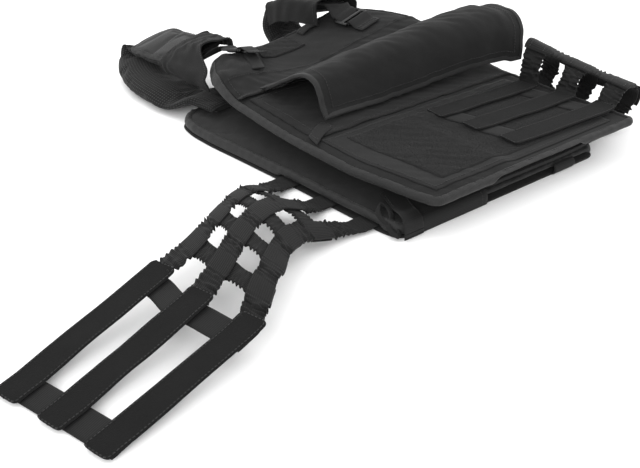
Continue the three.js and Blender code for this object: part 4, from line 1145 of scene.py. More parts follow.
def flap_outer(share, down):
    """Points of the flap's outer side at shares across it and down its profile."""
    after = np.clip(np.searchsorted([at for at, *_ in FLAP_PROFILES], share, side="left"), 1, 2)
    profiles = [Curve(np.array(profile)).at(down) for *_, profile in FLAP_PROFILES]
    a, b = FLAP_PROFILES[after - 1], FLAP_PROFILES[after]
    blend = float(rise(-0.35, 1.35, (share - a[0]) / (b[0] - a[0])))
    blend = (blend - rise(-0.35, 1.35, 0)) / (rise(-0.35, 1.35, 1) - rise(-0.35, 1.35, 0))
    profile = mix(profiles[after - 1], profiles[after], blend) * FLAP_LENGTH
    x = FLAP_LEFT_X + share * FLAP_WIDTH
    hinge = FLAP_HINGE_Y + mix(a[1], b[1], blend) * FLAP_LENGTH
    y = hinge - profile[:, 0]
    seat = front_base(x, hinge) + front_softness(x + 0 * y, y) + GAP + PANEL + LAYER_GAP + FLAP
    return at_height(x, y, seat + profile[:, 1])


class VEST_OT_flap(bpy.types.Operator):
    """Build the flap that stands in a soft hump over the front panel, with its edging and pull tab"""

    bl_idname = "vest.flap"
    bl_label = "Front flap"

    def execute(self, context):
        height = context.scene.vest_sizes.wrinkle / MM
        down = np.linspace(0, 1, 84)
        outer = np.stack([flap_outer(share, down) for share in np.linspace(0, 1, 110)], 1)
        heading = unit(np.gradient(outer, axis=0))
        out = np.stack([0 * heading[..., 0], heading[..., 2], -heading[..., 1]], -1)
        out[0] = [0, 0, 1]
        out = unit(out)
        x, s = outer[..., 0], down[:, None] * FLAP_LENGTH * 0.95
        free = rise(0.05, 0.3, down)[:, None]
        folds = 0.4 * ripple(x * 0.35, s, 30, 21) + 0.8 * ripple(x, s * 0.6, 44, 22)
        folds = folds + 0.2 * ripple(x, s, 13, 23)
        outer = outer + out * (height * 0.8 * free * folds)[..., None]
        inner = outer - out * FLAP_CLOTH
        inner[0] = outer[0] - [0, 0, FLAP_CLOTH]
        cloth_sheet("front_flap_cloth", outer, inner, finish("cloth"), "cloth", ["front_flap"])
        self.edge_tape(outer, inner, out)
        self.lining_edge(inner, out)
        self.hinge_layers()
        self.build_tab()
        sew("flap_hinge_seams", [outer[3], outer[6]])
        face = outer + out * LAYER_GAP
        sew("flap_edge_seams", [face[6:-6, 5], face[-6, 5:-5], face[6:-6, -6]])
        return {"FINISHED"}

    def edge_tape(self, outer, inner, out):
        """Folded tape round the left end, the free edge and the right end of the flap."""
        rows, columns = outer.shape[:2]
        rim = [(r, 0) for r in range(4, rows)] + [(rows - 1, c) for c in range(1, columns)]
        rim += [(r, columns - 1) for r in range(rows - 2, 3, -1)]
        r, c = np.array(rim).T
        into = np.stack([np.clip(r, 4, rows - 6), np.clip(c, 4, columns - 5)])
        edge, wall = outer[r, c], np.linalg.norm(outer - inner, axis=-1)[r, c][:, None]
        inward = unit(outer[into[0], into[1]] - edge)
        up = out[r, c]
        rings = []
        for a, b in rounded(FLAP_TAPE, 1):
            under = b <= -0.6  # this part of the tape is folded under the flap and follows its inner face
            rings.append(edge + inward * a + up * (b + under) - up * wall * under)
        mesh = loft_mesh("flap_edge_tape", np.stack(rings, 1))
        piece("flap_edge_tape", mesh, finish("tape"), "binding")

    def hinge_layers(self):
        """The folded layers of cloth that show as ribs at the left end of the flap's hinge."""
        for k in range(HINGE_LAYERS):
            shares = np.linspace(-0.018 + 0.004 * k, 0.075 + 0.012 * math.sin(2.1 * k), 12)
            down = np.array([HINGE_LAYER_START + HINGE_LAYER_STEP * k])
            row = np.array([flap_outer(share, down)[0] for share in shares])
            row[:, 2] += 0.4 + 1.1 * np.sin(np.linspace(0.4, 2.9, 12))
            top, bottom = band(row, lambda share: np.array([0, 1.0, 0.1]), *HINGE_LAYER, 6, 30, 1.0)
            name = f"flap_hinge_layer_{k + 1}"
            piece(name, slab_mesh(name, top, bottom), finish("tape"), "binding")

    def lining_edge(self, inner, out):
        """The turned edge of the flap's lining, seen under the arch at its left end."""
        wide, thick = LINING_ROLL
        line = Curve(inner[3:70, 4] - out[3:70, 4] * LINING_DROP).at(np.linspace(0, 1, 120))
        heading = unit(np.gradient(line, axis=0))
        across = np.array([1.0, 0, 0])
        over = unit(np.cross(heading, across))
        section = [(wide * math.cos(turn), thick * math.sin(turn)) for turn in np.linspace(0, 5.5, 10)]
        waver = 0.8 * ripple(np.arange(120) * 1.2, np.zeros(120), 18, 24)[:, None]
        rings = [line + across * a + over * (b + waver) for a, b in section]
        mesh = loft_mesh("flap_lining_edge", np.stack(rings, 1))
        piece("flap_lining_edge", mesh, finish("tape"), "binding")

    def build_tab(self):
        """The pull tab at the lower left corner, with its box of stitches."""
        height = FRONT_TOP + GAP + PANEL + LAYER_GAP + TAB_LIFT
        path = np.array([(FLAP_LEFT_X + x, y, height + z) for x, y, z in TAB_PATH])
        top, bottom = band(path, lambda share: np.array(TAB_SIDE), TAB_WIDTH, WEBBING, 12, 30)
        piece("flap_pull_tab_webbing", slab_mesh("flap_pull_tab_webbing", top, bottom), finish("webbing"),
              "webbing", "flap_pull_tab")
        a, b, c, d = top[3, 2], top[3, -3], top[-4, -3], top[-4, 2]
        sew("flap_tab_stitches", [np.array([a, b, c, d, a, c]), np.array([b, d])])


def band(path, side, width, wall, across=8, along=60, tip=0.0):
    """The two faces of a flat band along a path; side(share) is the direction of its width."""
    curve = Curve(path)
    shares = ends_close(along) if tip else np.linspace(0, 1, along)
    centre, heading = curve.at(shares), curve.tangent(shares)
    wide = unit(np.stack([side(share) for share in shares]))
    over = unit(np.cross(heading, wide))
    over *= np.where(over[:, 2:] < 0, -1, 1)
    reach = np.linspace(-width / 2, width / 2, across + 1) * np.ones((along, 1))
    if tip:
        near = np.clip(1 - np.minimum(shares, 1 - shares) * curve.length / tip, 0, 1)
        reach = reach * (1 - 2 * tip / width * (1 - np.sqrt(1 - near**2)))[:, None]
    middle = centre[:, None] + wide[:, None] * reach[..., None]
    soft = wall / 2 * (1 - 0.35 * np.abs(np.linspace(-1, 1, across + 1)) ** 6)[None, :, None]
    return middle + over[:, None] * soft, middle - over[:, None] * soft


class Net:
    """The surface through a cummerbund's three rows: s runs along them and t from -1 to 1 across."""

    def __init__(self, rows, flip):
        self.rows = [Curve(np.array(points)) for points in rows]
        self.flip = flip
        self.length = self.rows[1].length

    def point(self, s, t):
        """Points of the surface."""
        s, t = np.broadcast_arrays(s, t)
        first, middle, last = (row.at(s) for row in self.rows)
        slope, bend = (last - first) / 2, (last + first) / 2 - middle
        return middle + slope * t[..., None] + bend * (t * t)[..., None]

    def across(self, s, t):
        """How fast the surface runs on as t grows."""
        return (self.point(s, t + 0.004) - self.point(s, t - 0.004)) / 0.008

    def normal(self, s, t):
        """Directions out of the surface, on the rows' outer side."""
        along = self.point(np.minimum(s + 0.004, 1), t) - self.point(np.maximum(s - 0.004, 0), t)
        return unit(np.cross(along, self.across(s, t))) * self.flip


def slot_y(row):
    """Where a row's slot is in the side of the back panel."""
    return SLOT_CENTRE_Y + (1 - row) * SLOT_PITCH


def gathered_row(name, net, t, columns, start, end, seed):
    """One elastic row: flat in its slot and under the columns, frilled at its edges in between."""
    half = WEBBING_WIDTH / 2 / net.length
    s = np.linspace(0, 1, 420)
    free = rise((ROW_SEAT + EDGE_RUN) / net.length, start, s) * (1 - rise(end - 0.02, end + 0.02, s))
    for column in columns:
        free = free * (rise(half * 0.7, half * 1.6, np.abs(s - column)) if column > start else 1)
    run = s * net.length
    pitch = bpy.context.scene.vest_sizes.gather / MM
    turns = [6.28 * run / pitch / spread + 2.4 * ripple(run, 0 * run, 44, seed + k)
             for k, spread in enumerate((1, 1.13))]
    w = np.sin(np.linspace(-math.pi / 2, math.pi / 2, 15))[None]
    frills = [np.sin(turn) + 0.35 * np.sin(1.7 * turn + 1.1) for turn in turns]
    swings = [np.cos(turn) + 0.5 * np.sin(0.6 * turn + 0.4) for turn in turns]
    frill = np.where(w < 0, frills[0][:, None], frills[1][:, None])
    swing = np.where(w < 0, swings[0][:, None], swings[1][:, None])
    free = free[:, None] * (0.85 + 0.5 * ripple(run, 0 * run, 21, seed + 2))[:, None]
    crumple = ripple(run[:, None], w * ROW_WIDTH / 2, 8, seed + 3)
    crumple = crumple + 0.6 * ripple(run[:, None], w * 30, 16, seed + 4)
    lift = ROW_FRILL * np.abs(w) ** 2 * frill + ROW_RUCK * (1 - np.abs(w)) * frill
    lift = free * (lift + ROW_CRUMPLE * crumple + 0.3)
    waist = 1 - ROW_WAIST * free * (1 + 0.6 * ripple(run[:, None], 0 * w, 26, seed + 5))
    reach = w * (ROW_WIDTH / 2 * waist + free * (1.0 + 0.4 * swing + 0.5 * crumple) * np.abs(w))
    s, shares = np.broadcast_arrays(s[:, None], reach)
    stretch = np.linalg.norm(net.across(s, t + 0 * shares), axis=-1)
    centre = net.point(s, t + shares / stretch) + net.normal(s, t + 0 * shares) * lift[..., None]
    wall = net.normal(s, t + 0 * shares) * (1.1 + free * (0.3 + 0.25 * crumple))[..., None]
    wall = wall * (1 - 0.35 * np.abs(w) ** 8)[..., None]
    top, bottom = centre + wall, centre - wall
    rings = np.concatenate([top, bottom[:, ::-1]], 1)
    obj = piece(f"{name}_braid", loft_mesh(name, rings), finish("elastic"), "elastic", name)


def cross_column(name, net, s):
    """A flat band across the three rows, on their outer side, tacked to each of them."""
    half = WEBBING_WIDTH / 2 / net.length
    t, w = np.meshgrid(np.linspace(-1.26, 1.26, 150), np.linspace(-1, 1, 13), indexing="ij")
    between = rise(0.2, 0.42, np.abs(t - np.round(t))) * (np.abs(t) < 1)
    seed = 300 + int(1000 * s)
    frill = np.sin(t * 60 + 2.2 * ripple(t * 59, 0 * w, 30, seed) + (w > 0) * 1.9)
    shares = s + half * w * (1 - ROW_WAIST * between + 0.07 * between * frill)
    normal = net.normal(shares, t)
    lift = COLUMN_SEAT + between * (0.9 * frill * w * w - 0.9 + 0.5 * ripple(t * 59, w * 12, 14, seed + 1))
    base = net.point(shares, t) + normal * lift[..., None]
    top, bottom = base + normal * WEBBING, base
    for face in (top, bottom):
        face[..., 2] = np.maximum(face[..., 2], 0.4)
    piece(f"{name}_band", slab_mesh(name, top, bottom), finish("elastic"), "webbing", name)
    tacks = []
    for row in (-1, 0, 1):
        for edge in (-0.16, 0.16):
            at = np.linspace(s - half * 0.82, s + half * 0.82, 12)
            face = net.point(at, 0 * at + row + edge)
            face = face + net.normal(at, 0 * at + row + edge) * (COLUMN_SEAT + WEBBING + 0.2)
            if face[:, 2].min() > 1:
                tacks.append(face)
    return tacks


def hook_section(side, inner, outer, across, below):
    """Three strips of hook tape, and the two bands under them that hold them apart."""
    towards = [unit(end - start) for start, end in zip(inner, outer)]
    seams = []
    for row, (start, end) in enumerate(zip(inner, outer)):
        name = f"{side}_hook_strip_{row + 1}"
        path = [mix(start - towards[row] * HOOK_LAP, end, share) for share in (0, 0.06, 0.33, 0.66, 1)]
        for point, up in zip(path, HOOK_LAP_RISE):
            point[2] += up
        top, bottom = band(path, lambda share: across, HOOK_WIDTH, HOOK_WALL, 16, 120, HOOK_TIP)
        run = np.arange(120) * 1.3
        shift = across * (0.6 * ripple(run, row * 40.0 + 0 * run, 60, 31))[:, None, None]
        curl = 0.5 * ripple(run, row * 25.0 + 0 * run, 34, 32)[:, None] * np.linspace(-1, 1, 17)[None]
        shift = shift + np.array([0, 0, 1.0]) * np.maximum(curl, -0.1)[..., None]
        top, bottom = top + shift, bottom + shift
        tape = mix(top, bottom, 0.35)
        obj = piece(f"{name}_tape", slab_mesh(name, tape, bottom), finish("hook"), "pile", name)
        width, length = size_of(tape)
        stand_pile(f"{name}_hooks", tape, "hook", HOOKS, 0.9)
        seams += [tape[2:-2, 1], tape[2:-2, -2], tape[2, 1:-1], tape[-3, 1:-1]]
    inset = WEBBING_WIDTH / 2
    places = [[end + way * (inset + ROW_END_GAP / 3) for end, way in zip(inner, towards)],
              [end - way * (inset + HOOK_OVERHANG) for end, way in zip(outer, towards)]]
    for k, place in enumerate(places):
        path = []
        for end, way in zip(place, towards):
            up = unit(np.cross(way, across))
            up = up * -math.copysign(1, up[2]) * (BAND_UNDER + below)
            path += [end + up + across * sign * HOOK_WIDTH * 0.42 for sign in (-1, 1)]
        name = f"{side}_cross_band_{k + 1}"
        top, bottom = band(path, lambda share: towards[1], WEBBING_WIDTH, WEBBING, 8, 90)
        piece(f"{name}_webbing", slab_mesh(name, top, bottom), finish("webbing"), "webbing", name)
    sew(f"{side}_hook_seams", seams, 0.15)


def cummerbund(side, paths, flip, columns, start, end, hooks, seed):
    """One half of the cummerbund: three rows, their columns and the strips with their bands."""
    net = Net(paths, flip)
    for row, t in enumerate((-1, 0, 1)):
        gathered_row(f"{side}_elastic_row_{row + 1}", net, t, columns, start, end, seed + 10 * row)
    tacks = []
    for k, share in enumerate(columns):
        tacks += cross_column(f"{side}_column_{k + 1}", net, share)
    sew(f"{side}_column_tacks", tacks, 0)
    hook_section(side, *hooks)


class VEST_OT_left_cummerbund(bpy.types.Operator):
    """Build the left half of the cummerbund, laid out on the floor beside the vest"""

    bl_idname = "vest.left_cummerbund"
    bl_label = "Left cummerbund"

    def execute(self, context):
        paths = []
        for row, rows in enumerate(LEFT_ROWS):
            path = [(-BACK_WIDTH / 2 - out, slot_y(row), SEAT) for out in ROW_START]
            path += [(-BACK_WIDTH / 2 - out * SKELETON, slot_y(row) - down * SKELETON, lift * HUMP)
                     for out, down, lift in rows]
            paths.append(path)
        turn = math.radians(LEFT_HOOK_TURN)
        along = np.array([-math.cos(turn), -math.sin(turn), 0])
        across = np.array([math.sin(turn), -math.cos(turn), 0])
        inner = [np.array(path[-1]) for path in paths]
        outer = [inner[1] + along * HOOK_LENGTH + across * (row - 1) * HOOK_PITCH for row in range(3)]
        for end in outer:
            end[2] = LEFT_HOOK_REST + BAND_UNDER + WEBBING / 2
        hooks = (inner, outer, across, LEFT_BAND_DROP)
        cummerbund("left", paths, -1, LEFT_COLUMNS, *LEFT_FREE, hooks, 100)
        return {"FINISHED"}


class VEST_OT_right_cummerbund(bpy.types.Operator):
    """Build the right half of the cummerbund, wrapped up round the edge onto the front panel"""

    bl_idname = "vest.right_cummerbund"
    bl_label = "Right cummerbund"

    def execute(self, context):
        turn = math.radians(RIGHT_HOOK_TURN)
        along = np.array([math.cos(turn), math.sin(turn), 0])
        across = np.array([math.sin(turn), -math.cos(turn), 0])
        height = FRONT_TOP + GAP + FIELD + LAYER_GAP + WEBBING + GAP + HOOK_WALL / 2
        start = np.array([RIGHT_HOOK_X, RIGHT_HOOK_Y, height])
        outer = [start + [(row - 1) * RIGHT_HOOK_STAGGER, 0, 0] + across * (row - 1) * HOOK_PITCH
                 for row in range(3)]
        inner = [end + along * RIGHT_HOOK_LENGTH for end in outer]
        paths = []
        for row in range(3):
            path = [(BACK_WIDTH / 2 + out, slot_y(row), SEAT) for out in ROW_START]
            path += [(BACK_WIDTH / 2 + out * LOOP_REACH + (row - 1) * RIGHT_HOOK_STAGGER * turned,
                      mix(slot_y(row), inner[row][1], turned), lifts[row] * LOOP_CREST)
                     for out, turned, *lifts in LOOP_PROFILE]
            paths.append([*path, tuple(inner[row])])
        cummerbund("right", paths, 1, RIGHT_COLUMNS, *RIGHT_FREE, (inner, outer, across, 0), 200)
        return {"FINISHED"}


def pad_frames(rows, x, fold, shares, ahead=0.0, last=2):
    """Centres, widths and upward directions along a pad, or along its last stations and ahead."""
    table = np.array(rows)
    reach = table[:, :2] * PAD_REACH
    path = np.column_stack([x + reach[:, 0], BACK_ABOVE + reach[:, 1], table[:, 2] * fold])
    tilts = table[:, 3]
    if ahead:
        path = np.vstack([path[-last:], path[-1] + unit(path[-1] - path[-2]) * ahead])
        tilts = np.append(tilts[-last:], tilts[-1])
    curve = Curve(path)
    station = np.interp(shares * curve.length, curve.along, np.arange(len(curve.line)) / SPAN_STEPS)
    tilt = np.radians(np.interp(station, np.arange(len(tilts)), tilts))
    along = curve.tangent(shares)
    wide = np.stack([np.cos(tilt), 0 * tilt, np.sin(tilt)], -1)
    wide = unit(wide - along * np.sum(wide * along, -1, keepdims=True))
    return curve.at(shares), wide, np.cross(wide, along), path


def closed_line(points, count):
    """Evenly spaced points round a closed outline."""
    line = np.vstack([points, points[:1]])
    along = np.concatenate([[0], np.cumsum(np.linalg.norm(np.diff(line, axis=0), axis=1))])
    s = np.linspace(0, along[-1], count, endpoint=False)
    return np.stack([np.interp(s, along, axis) for axis in line.T], -1)


def pad(name, node, rows, x, fold, bulge):
    """A shoulder pad: spacer mesh round its inner side, coated cloth with taped edges on the outer."""
    stations = np.linspace(0, 1, 130)
    centre, wide, over, _ = pad_frames(rows, x, fold, stations)
    half = PAD_WIDTH / 2
    section = closed_line(rounded(np.array(PAD_SECTION) * [half, PAD_HALF], 1), 60)
    thin = 1 - 0.5 * (1 - rise(0, 0.02, stations)) - 0.5 * rise(0.98, 1, stations)
    w, h = section.T
    outer = h < -PAD_WALL * 0.3
    seam = outer * np.exp(-((np.abs(w) - half * PAD_SEAM) / 1.8) ** 2)
    h = h + seam * 1.2
    inner = (h > 0) * np.clip(1 - (w / half) ** 2, 0, 1) ** 0.6
    body = rise(0.14, 0.3, stations) * (1 - 0.6 * rise(0.86, 1, stations))
    bend = 1 - np.sum(np.roll(over, -4, 0) * np.roll(over, 4, 0), -1)
    crease = np.minimum(bend * 6, 1) * (stations > 0.05) * (stations < 0.95)
    creases = crease[:, None] * 1.6 * ripple(stations[:, None] * 420, w[None] * 0.35, 17, 71)
    height = h[None] * thin[:, None] + inner[None] * (bulge * body[:, None] + creases)
    w_fold = w[None] * (1 - 0.09 * np.minimum(bend * 6, 1) * crease)[:, None]
    rings = centre[:, None] + wide[:, None] * w_fold[..., None] + over[:, None] * height[..., None]
    mesh = loft_mesh(name, rings)
    obj = piece(name, mesh, [finish("padding"), finish("mesh"), finish("tape")], "padding", node)
    columns = len(section)
    for polygon in mesh.polygons:
        k = polygon.vertices[0] % columns
        taped = len(polygon.vertices) > 4 or (h[k] < 0.5 and abs(w[k]) > half * PAD_SEAM)
        polygon.material_index = 2 if taped else int(not outer[k])
    pinned = np.flatnonzero(outer & (seam > 0.5))
    held = [int(k + r * columns) for r in range(len(stations)) for k in pinned]
    held += list(range(columns)) + [k + (len(stations) - 1) * columns for k in range(columns)]
    swell(obj, held)
    face = 0.9 - PAD_HALF
    seams = [centre + wide * side * half * PAD_SEAM + over * face * thin[:, None] for side in (-1, 1)]
    sew(f"{name}_seams", seams, 0)


def swell(obj, pinned):
    """Fills a padded piece with air in a cloth simulation, held along its seams."""
    scene = bpy.context.scene
    before = np.array([tuple(v.co) for v in obj.data.vertices])
    group = obj.vertex_groups.new(name="Seams")
    group.add([int(k) for k in pinned], 1.0, "REPLACE")
    modifier = obj.modifiers.new("Cloth", "CLOTH")
    modifier.settings.use_pressure = True
    modifier.settings.uniform_pressure_force = 4
    modifier.settings.vertex_group_mass = group.name
    modifier.settings.shrink_min = -0.03
    modifier.settings.effector_weights.gravity = 0
    modifier.point_cache.frame_start, modifier.point_cache.frame_end = 1, 20
    for step in range(1, 21):
        scene.frame_set(step)
        bpy.context.view_layer.update()
    result = obj.evaluated_get(bpy.context.evaluated_depsgraph_get())
    after = np.array([tuple(v.co) for v in result.data.vertices])
    obj.modifiers.remove(modifier)
    obj.vertex_groups.remove(group)
    scene.frame_set(1)
    move = after - before
    far = np.linalg.norm(move, axis=1, keepdims=True)
    cap = PAD_SWELL * MM
    move *= cap * np.tanh(far / cap) / np.maximum(far, 1e-9)
    obj.data.vertices.foreach_set("co", (before + move).ravel())
    obj.data.update()
    smooth = obj.modifiers.new("Smooth", "SUBSURF")
    smooth.levels = smooth.render_levels = 1
    mesh = bpy.data.meshes.new_from_object(obj.evaluated_get(bpy.context.evaluated_depsgraph_get()))
    obj.modifiers.remove(smooth)
    mesh.name = obj.name
    obj.data = mesh


def sleeve(name, node, rows, x, fold, seed, last, skirt, tongue):
    """The cloth sleeve over a pad's end, its outer side hanging by skirt and reaching on by tongue."""
    shares = np.linspace(0, 1, 56)
    centre, wide, over, _ = pad_frames(rows, x, fold, shares, SLEEVE_MOUTH, last)
    reach = PAD_WIDTH / 2 + 3 * GAP
    low = -PAD_WALL / 2 - LAYER_GAP
    rings = []
    for share, middle, side, up in zip(shares, centre, wide, over):
        crown = low - SLEEVE_BULGE * mix(0.25, 1, share)
        shoulder = low - SLEEVE_BULGE * 0.2 * share
        faces = []
        for wall in (0, SLEEVE_WALL):
            half = [(0.3 * reach, crown - wall), (0.74 * reach, shoulder - GAP - wall),
                    (reach + 1.5 + wall, shoulder / 2), (reach + 1 + wall, skirt - low)]
            line = np.array([(-w, h, 0) for w, h in reversed(half)] + [(w, h, 0) for w, h in half])
            line[-1, 1] = SLEEVE_HEM - low
            faces.append(Curve(line).at(np.linspace(0, 1, 44)))
        run = np.linspace(0, SLEEVE_GIRTH, 44)
        folds = ripple(run, share * 90 + 0 * run, 26, seed)
        folds = folds + 0.4 * ripple(run, share * 90 + 0 * run, 11, seed + 1)
        slack = 0.8 * ripple(run, share * 110 + 0 * run, 30, seed + 2)
        faces = [face + np.stack([slack, folds - 0.4, 0 * folds], -1) for face in faces]
        line = np.vstack([faces[0], faces[1][::-1]])
        outer = 1 - rise(0.17, 0.52, np.concatenate([run, run[::-1]]) / SLEEVE_GIRTH)
        on = np.outer(outer * rise(0.35, 1, share), (np.cross(up, side) + up * 0.1) * tongue)
        rings.append(middle + side * line[:, :1] + up * line[:, 1:2] + on)
    rings = np.array(rings)
    piece(name, loft_mesh(name, rings), finish("cloth"), "cloth", node)
    sew(f"{name}_seams", [rings[3, 46:86], rings[-4, 46:86]], 0.2)


def panel_frame(place, lift):
    """A frame on the front panel at a buckle: its origin, and its right, forward and up directions."""
    x, y, turn = place
    step = 12.0
    slope = [(front_height(x + a, y + b) - front_height(x - a, y - b)) / (2 * step)
             for a, b in ((step, 0), (0, step))]
    up = unit(np.array([-slope[0], -slope[1], 1.0]))
    turn = math.radians(turn)
    right = np.array([math.cos(turn), math.sin(turn), 0.0])
    right = unit(right - up * right.dot(up))
    origin = np.array([x, y, float(front_height(x, y))]) + up * lift
    return origin, right, np.cross(up, right), up


def buckle(name, frame_at, node):
    """A moulded ladder buckle with two slots, all of its edges rounded."""
    origin, right, ahead, up = frame_at
    w, h, wall = BUCKLE[0] / 2, BUCKLE[1] / 2, BUCKLE[2]
    xs = [-w, -w + BUCKLE_BAR, w - BUCKLE_BAR, w]
    ys = [-h, -h + BUCKLE_BAR, -BUCKLE_BAR / 2, BUCKLE_BAR / 2, h - BUCKLE_BAR, h]
    solid = {(i, j) for i in range(3) for j in range(5)} - {(1, 1), (1, 3)}
    body = bmesh.new()
    verts = {}
    for level in (0, 1):
        for i, x in enumerate(xs):
            for j, y in enumerate(ys):
                verts[level, i, j] = body.verts.new((x, y, level * wall))
    for i, j in sorted(solid):
        square = [(i, j), (i + 1, j), (i + 1, j + 1), (i, j + 1)]
        body.faces.new([verts[(1, *at)] for at in square])
        body.faces.new([verts[(0, *at)] for at in reversed(square)])
        for k, (a, b) in enumerate(((0, -1), (1, 0), (0, 1), (-1, 0))):
            if (i + a, j + b) not in solid:
                p, q = square[k], square[(k + 1) % 4]
                body.faces.new([verts[(0, *p)], verts[(0, *q)], verts[(1, *q)], verts[(1, *p)]])
    corners = [edge for edge in body.edges
               if all(abs(v.co.x) == w and abs(v.co.y) == h for v in edge.verts)]
    bmesh.ops.bevel(body, geom=corners, offset=BUCKLE_CORNER, segments=4, affect="EDGES")
    sharp = [edge for edge in body.edges if edge.calc_face_angle(0) > math.radians(60)]
    bmesh.ops.bevel(body, geom=sharp, offset=BUCKLE_ROUNDING, segments=3, affect="EDGES", clamp_overlap=True)
    bmesh.ops.recalc_face_normals(body, faces=body.faces)
    for vert in body.verts:
        spot = origin + right * vert.co.x + ahead * vert.co.y + up * vert.co.z
        vert.co = (spot * MM).tolist()
    mesh = bpy.data.meshes.new(name)
    body.to_mesh(mesh)
    body.free()
    mesh.shade_smooth()
    mesh.set_sharp_from_angle(angle=math.radians(50))
    piece(name, mesh, finish("plastic"), "plastic", node)


def strap(name, node, rows, x, fold, place, buckle_node):
    """The adjusting strap: out of its sleeve, through the buckle and onto the panel."""
    frame_at = panel_frame(place, BUCKLE_LIFT)
    origin, right, ahead, up = frame_at
    buckle(f"{buckle_node}_moulding", frame_at, buckle_node)
    _, wide, _, path = pad_frames(rows, x, fold, np.array([0.0, 1.0]), SLEEVE_MOUTH)
    start = path[1] + unit(path[1] - path[0]) * STRAP_START
    landing = [origin + ahead * y + up * z for y, z in STRAP_IN_BUCKLE]
    middle = mix(path[2], landing[0], 0.5) + [0, 0, 1.5]
    points = [start, path[2], middle, *landing]
    curve = Curve(points)
    reached = np.linalg.norm(curve.line - landing[0], axis=1).argmin() / len(curve.line)
    last = max(reached, 0.3)
    top, bottom = band(points, lambda share: unit(mix(wide[-1], right, float(rise(0.1, last, share)))),
                       STRAP_WIDTH - STRAP_EASE, STRAP_WALL - GAP, 10, 220)
    piece(name, slab_mesh(name, top, bottom), finish("webbing"), "webbing", node)
    box = top[-24:-3, 1:-1]
    cross = [np.array([box[0, 0], box[-1, -1]]), np.array([box[0, -1], box[-1, 0]])]
    sew(f"{name}_stitches", [box[0], box[-1], box[:, 0], box[:, -1], *cross])


class VEST_OT_shoulders(bpy.types.Operator):
    """Build the folded shoulder pads with their sleeves, adjusting straps and buckles"""

    bl_idname = "vest.shoulders"
    bl_label = "Shoulders"

    def execute(self, context):
        for side, *lie, place in (("left", LEFT_PAD, LEFT_PAD_X, LEFT_FOLD, LEFT_BUCKLE),
                                  ("right", RIGHT_PAD, RIGHT_PAD_X, RIGHT_FOLD, RIGHT_BUCKLE)):
            pad(f"{side}_pad_body", f"{side}_shoulder_pad", *lie, PAD_BULGE[side])
            sleeve(f"{side}_sleeve_cloth", f"{side}_pad_sleeve", *lie, **SLEEVE_DRAPE[side])
            strap(f"{side}_strap_webbing", f"{side}_shoulder_strap", *lie, place, f"{side}_strap_buckle")
        return {"FINISHED"}


class VEST_OT_trim(bpy.types.Operator):
    """Build the small arch of webbing at the neck, and the tail of the left strap"""

    bl_idname = "vest.trim"
    bl_label = "Neck trim"

    def execute(self, context):
        x = ARCH_LEFT_X + np.linspace(0, ARCH_LENGTH, 9)
        arch = ARCH_RISE * np.sin(np.linspace(0, math.pi, 9)) ** 0.8
        height = front_height(x, ARCH_Y + WEBBING_WIDTH / 4) + GAP + WEBBING / 2
        path = at_height(x, ARCH_Y, height + arch)
        top, bottom = band(path, lambda share: np.array([0, 1.0, 0]), WEBBING_WIDTH / 2, WEBBING, 8, 40)
        piece("front_neck_arch", slab_mesh("front_neck_arch", top, bottom), finish("webbing"), "webbing",
              "front_cord_clip")
        sew("front_clip_stitches", [top[2, 1:-1], top[-3, 1:-1]])
        x, y, lift = np.array(STRAP_TAIL).T
        path = at_height(x, y, front_height(x, y) + lift)
        top, bottom = band(path, lambda share: np.array([1.0, -0.4, 0]), STRAP_TAIL_WIDTH, WEBBING, 8, 40)
        piece("left_strap_tail", slab_mesh("left_strap_tail", top, bottom), finish("webbing"), "webbing")
        return {"FINISHED"}


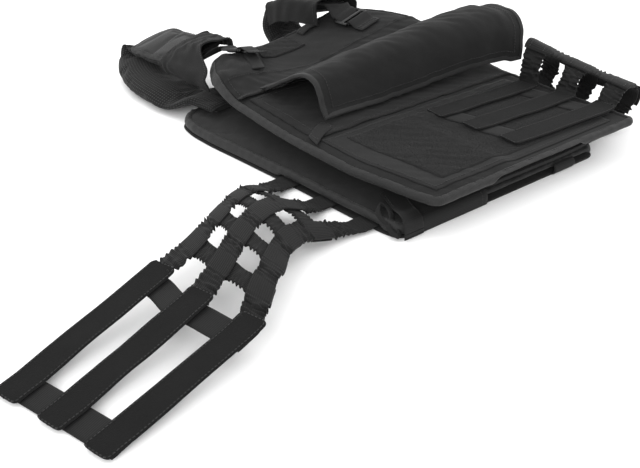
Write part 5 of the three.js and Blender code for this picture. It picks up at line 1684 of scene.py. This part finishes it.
class VEST_OT_stage(bpy.types.Operator):
    """Set up the floor, the soft studio lights and the camera"""

    bl_idname = "vest.stage"
    bl_label = "Stage"

    def execute(self, context):
        scene = context.scene
        floor = bpy.data.meshes.new("floor")
        corners = [(x * FLOOR_REACH, y * FLOOR_REACH, 0) for x, y in ((-1, -1), (1, -1), (1, 1), (-1, 1))]
        floor.from_pydata(corners, [], [(0, 1, 2, 3)])
        ground = bpy.data.objects.new("floor", floor)
        scene.collection.objects.link(ground)
        floor.materials.append(finish("floor"))
        middle = Vector(LOOK_AT) * MM
        for name, (place, size, power) in LIGHTS.items():
            data = bpy.data.lights.new(name, "AREA")
            data.shape, data.size, data.energy = "DISK", size, power
            lamp = bpy.data.objects.new(name, data)
            scene.collection.objects.link(lamp)
            lamp.location = place
            lamp.rotation_euler = (Vector(place) - middle).to_track_quat("Z", "Y").to_euler()
        world = bpy.data.worlds.new("Soft white room")
        world.use_nodes = True
        shader = world.node_tree.nodes["Background"]
        shader.inputs["Color"].default_value = (1, 1, 1, 1)
        shader.inputs["Strength"].default_value = ROOM_LIGHT
        scene.world = world
        turn, up = math.radians(CAMERA_TURN), math.radians(CAMERA_RISE)
        away = Vector((math.sin(turn) * math.cos(up), -math.cos(turn) * math.cos(up), math.sin(up)))
        view = bpy.data.cameras.new("camera")
        view.lens, view.sensor_width, view.sensor_fit = CAMERA_LENS, CAMERA_SENSOR, "HORIZONTAL"
        camera = bpy.data.objects.new("camera", view)
        scene.collection.objects.link(camera)
        camera.location = middle + away * CAMERA_AWAY * MM
        camera.rotation_euler = away.to_track_quat("Z", "Y").to_euler()
        scene.camera = camera
        scene.view_settings.view_transform = "Standard"
        return {"FINISHED"}


class VEST_PT_panel(bpy.types.Panel):
    """The sidebar panel that lists the vest's operators and values"""

    bl_idname = "VEST_PT_panel"
    bl_label = "Plate carrier vest"
    bl_space_type = "VIEW_3D"
    bl_region_type = "UI"
    bl_category = "Vest"

    def draw(self, context):
        for operator in OPERATORS:
            self.layout.operator(operator.bl_idname)
        for group in (context.scene.vest_sizes, context.scene.vest_colours):
            for name in group.bl_rna.properties.keys():
                if name not in ("rna_type", "name"):
                    self.layout.prop(group, name)


OPERATORS = (
    VEST_OT_back_panel, VEST_OT_front_panel, VEST_OT_flap, VEST_OT_left_cummerbund,
    VEST_OT_right_cummerbund, VEST_OT_shoulders, VEST_OT_trim, VEST_OT_stage,
)


def register():
    """Registers the classes and gives each scene its sizes and colours."""
    for kind in (VestSizes, VestColours, *OPERATORS, VEST_PT_panel):
        bpy.utils.register_class(kind)
    bpy.types.Scene.vest_sizes = PointerProperty(type=VestSizes)
    bpy.types.Scene.vest_colours = PointerProperty(type=VestColours)


def unregister():
    """Takes away what register added."""
    del bpy.types.Scene.vest_colours
    del bpy.types.Scene.vest_sizes
    for kind in reversed((VestSizes, VestColours, *OPERATORS, VEST_PT_panel)):
        bpy.utils.unregister_class(kind)


def main():
    """Builds the vest, then its stage."""
    register()
    bpy.ops.vest.back_panel()
    bpy.ops.vest.front_panel()
    bpy.ops.vest.flap()
    bpy.ops.vest.left_cummerbund()
    bpy.ops.vest.right_cummerbund()
    bpy.ops.vest.shoulders()
    bpy.ops.vest.trim()
    bpy.ops.vest.stage()


if __name__ == "__main__":
    main()
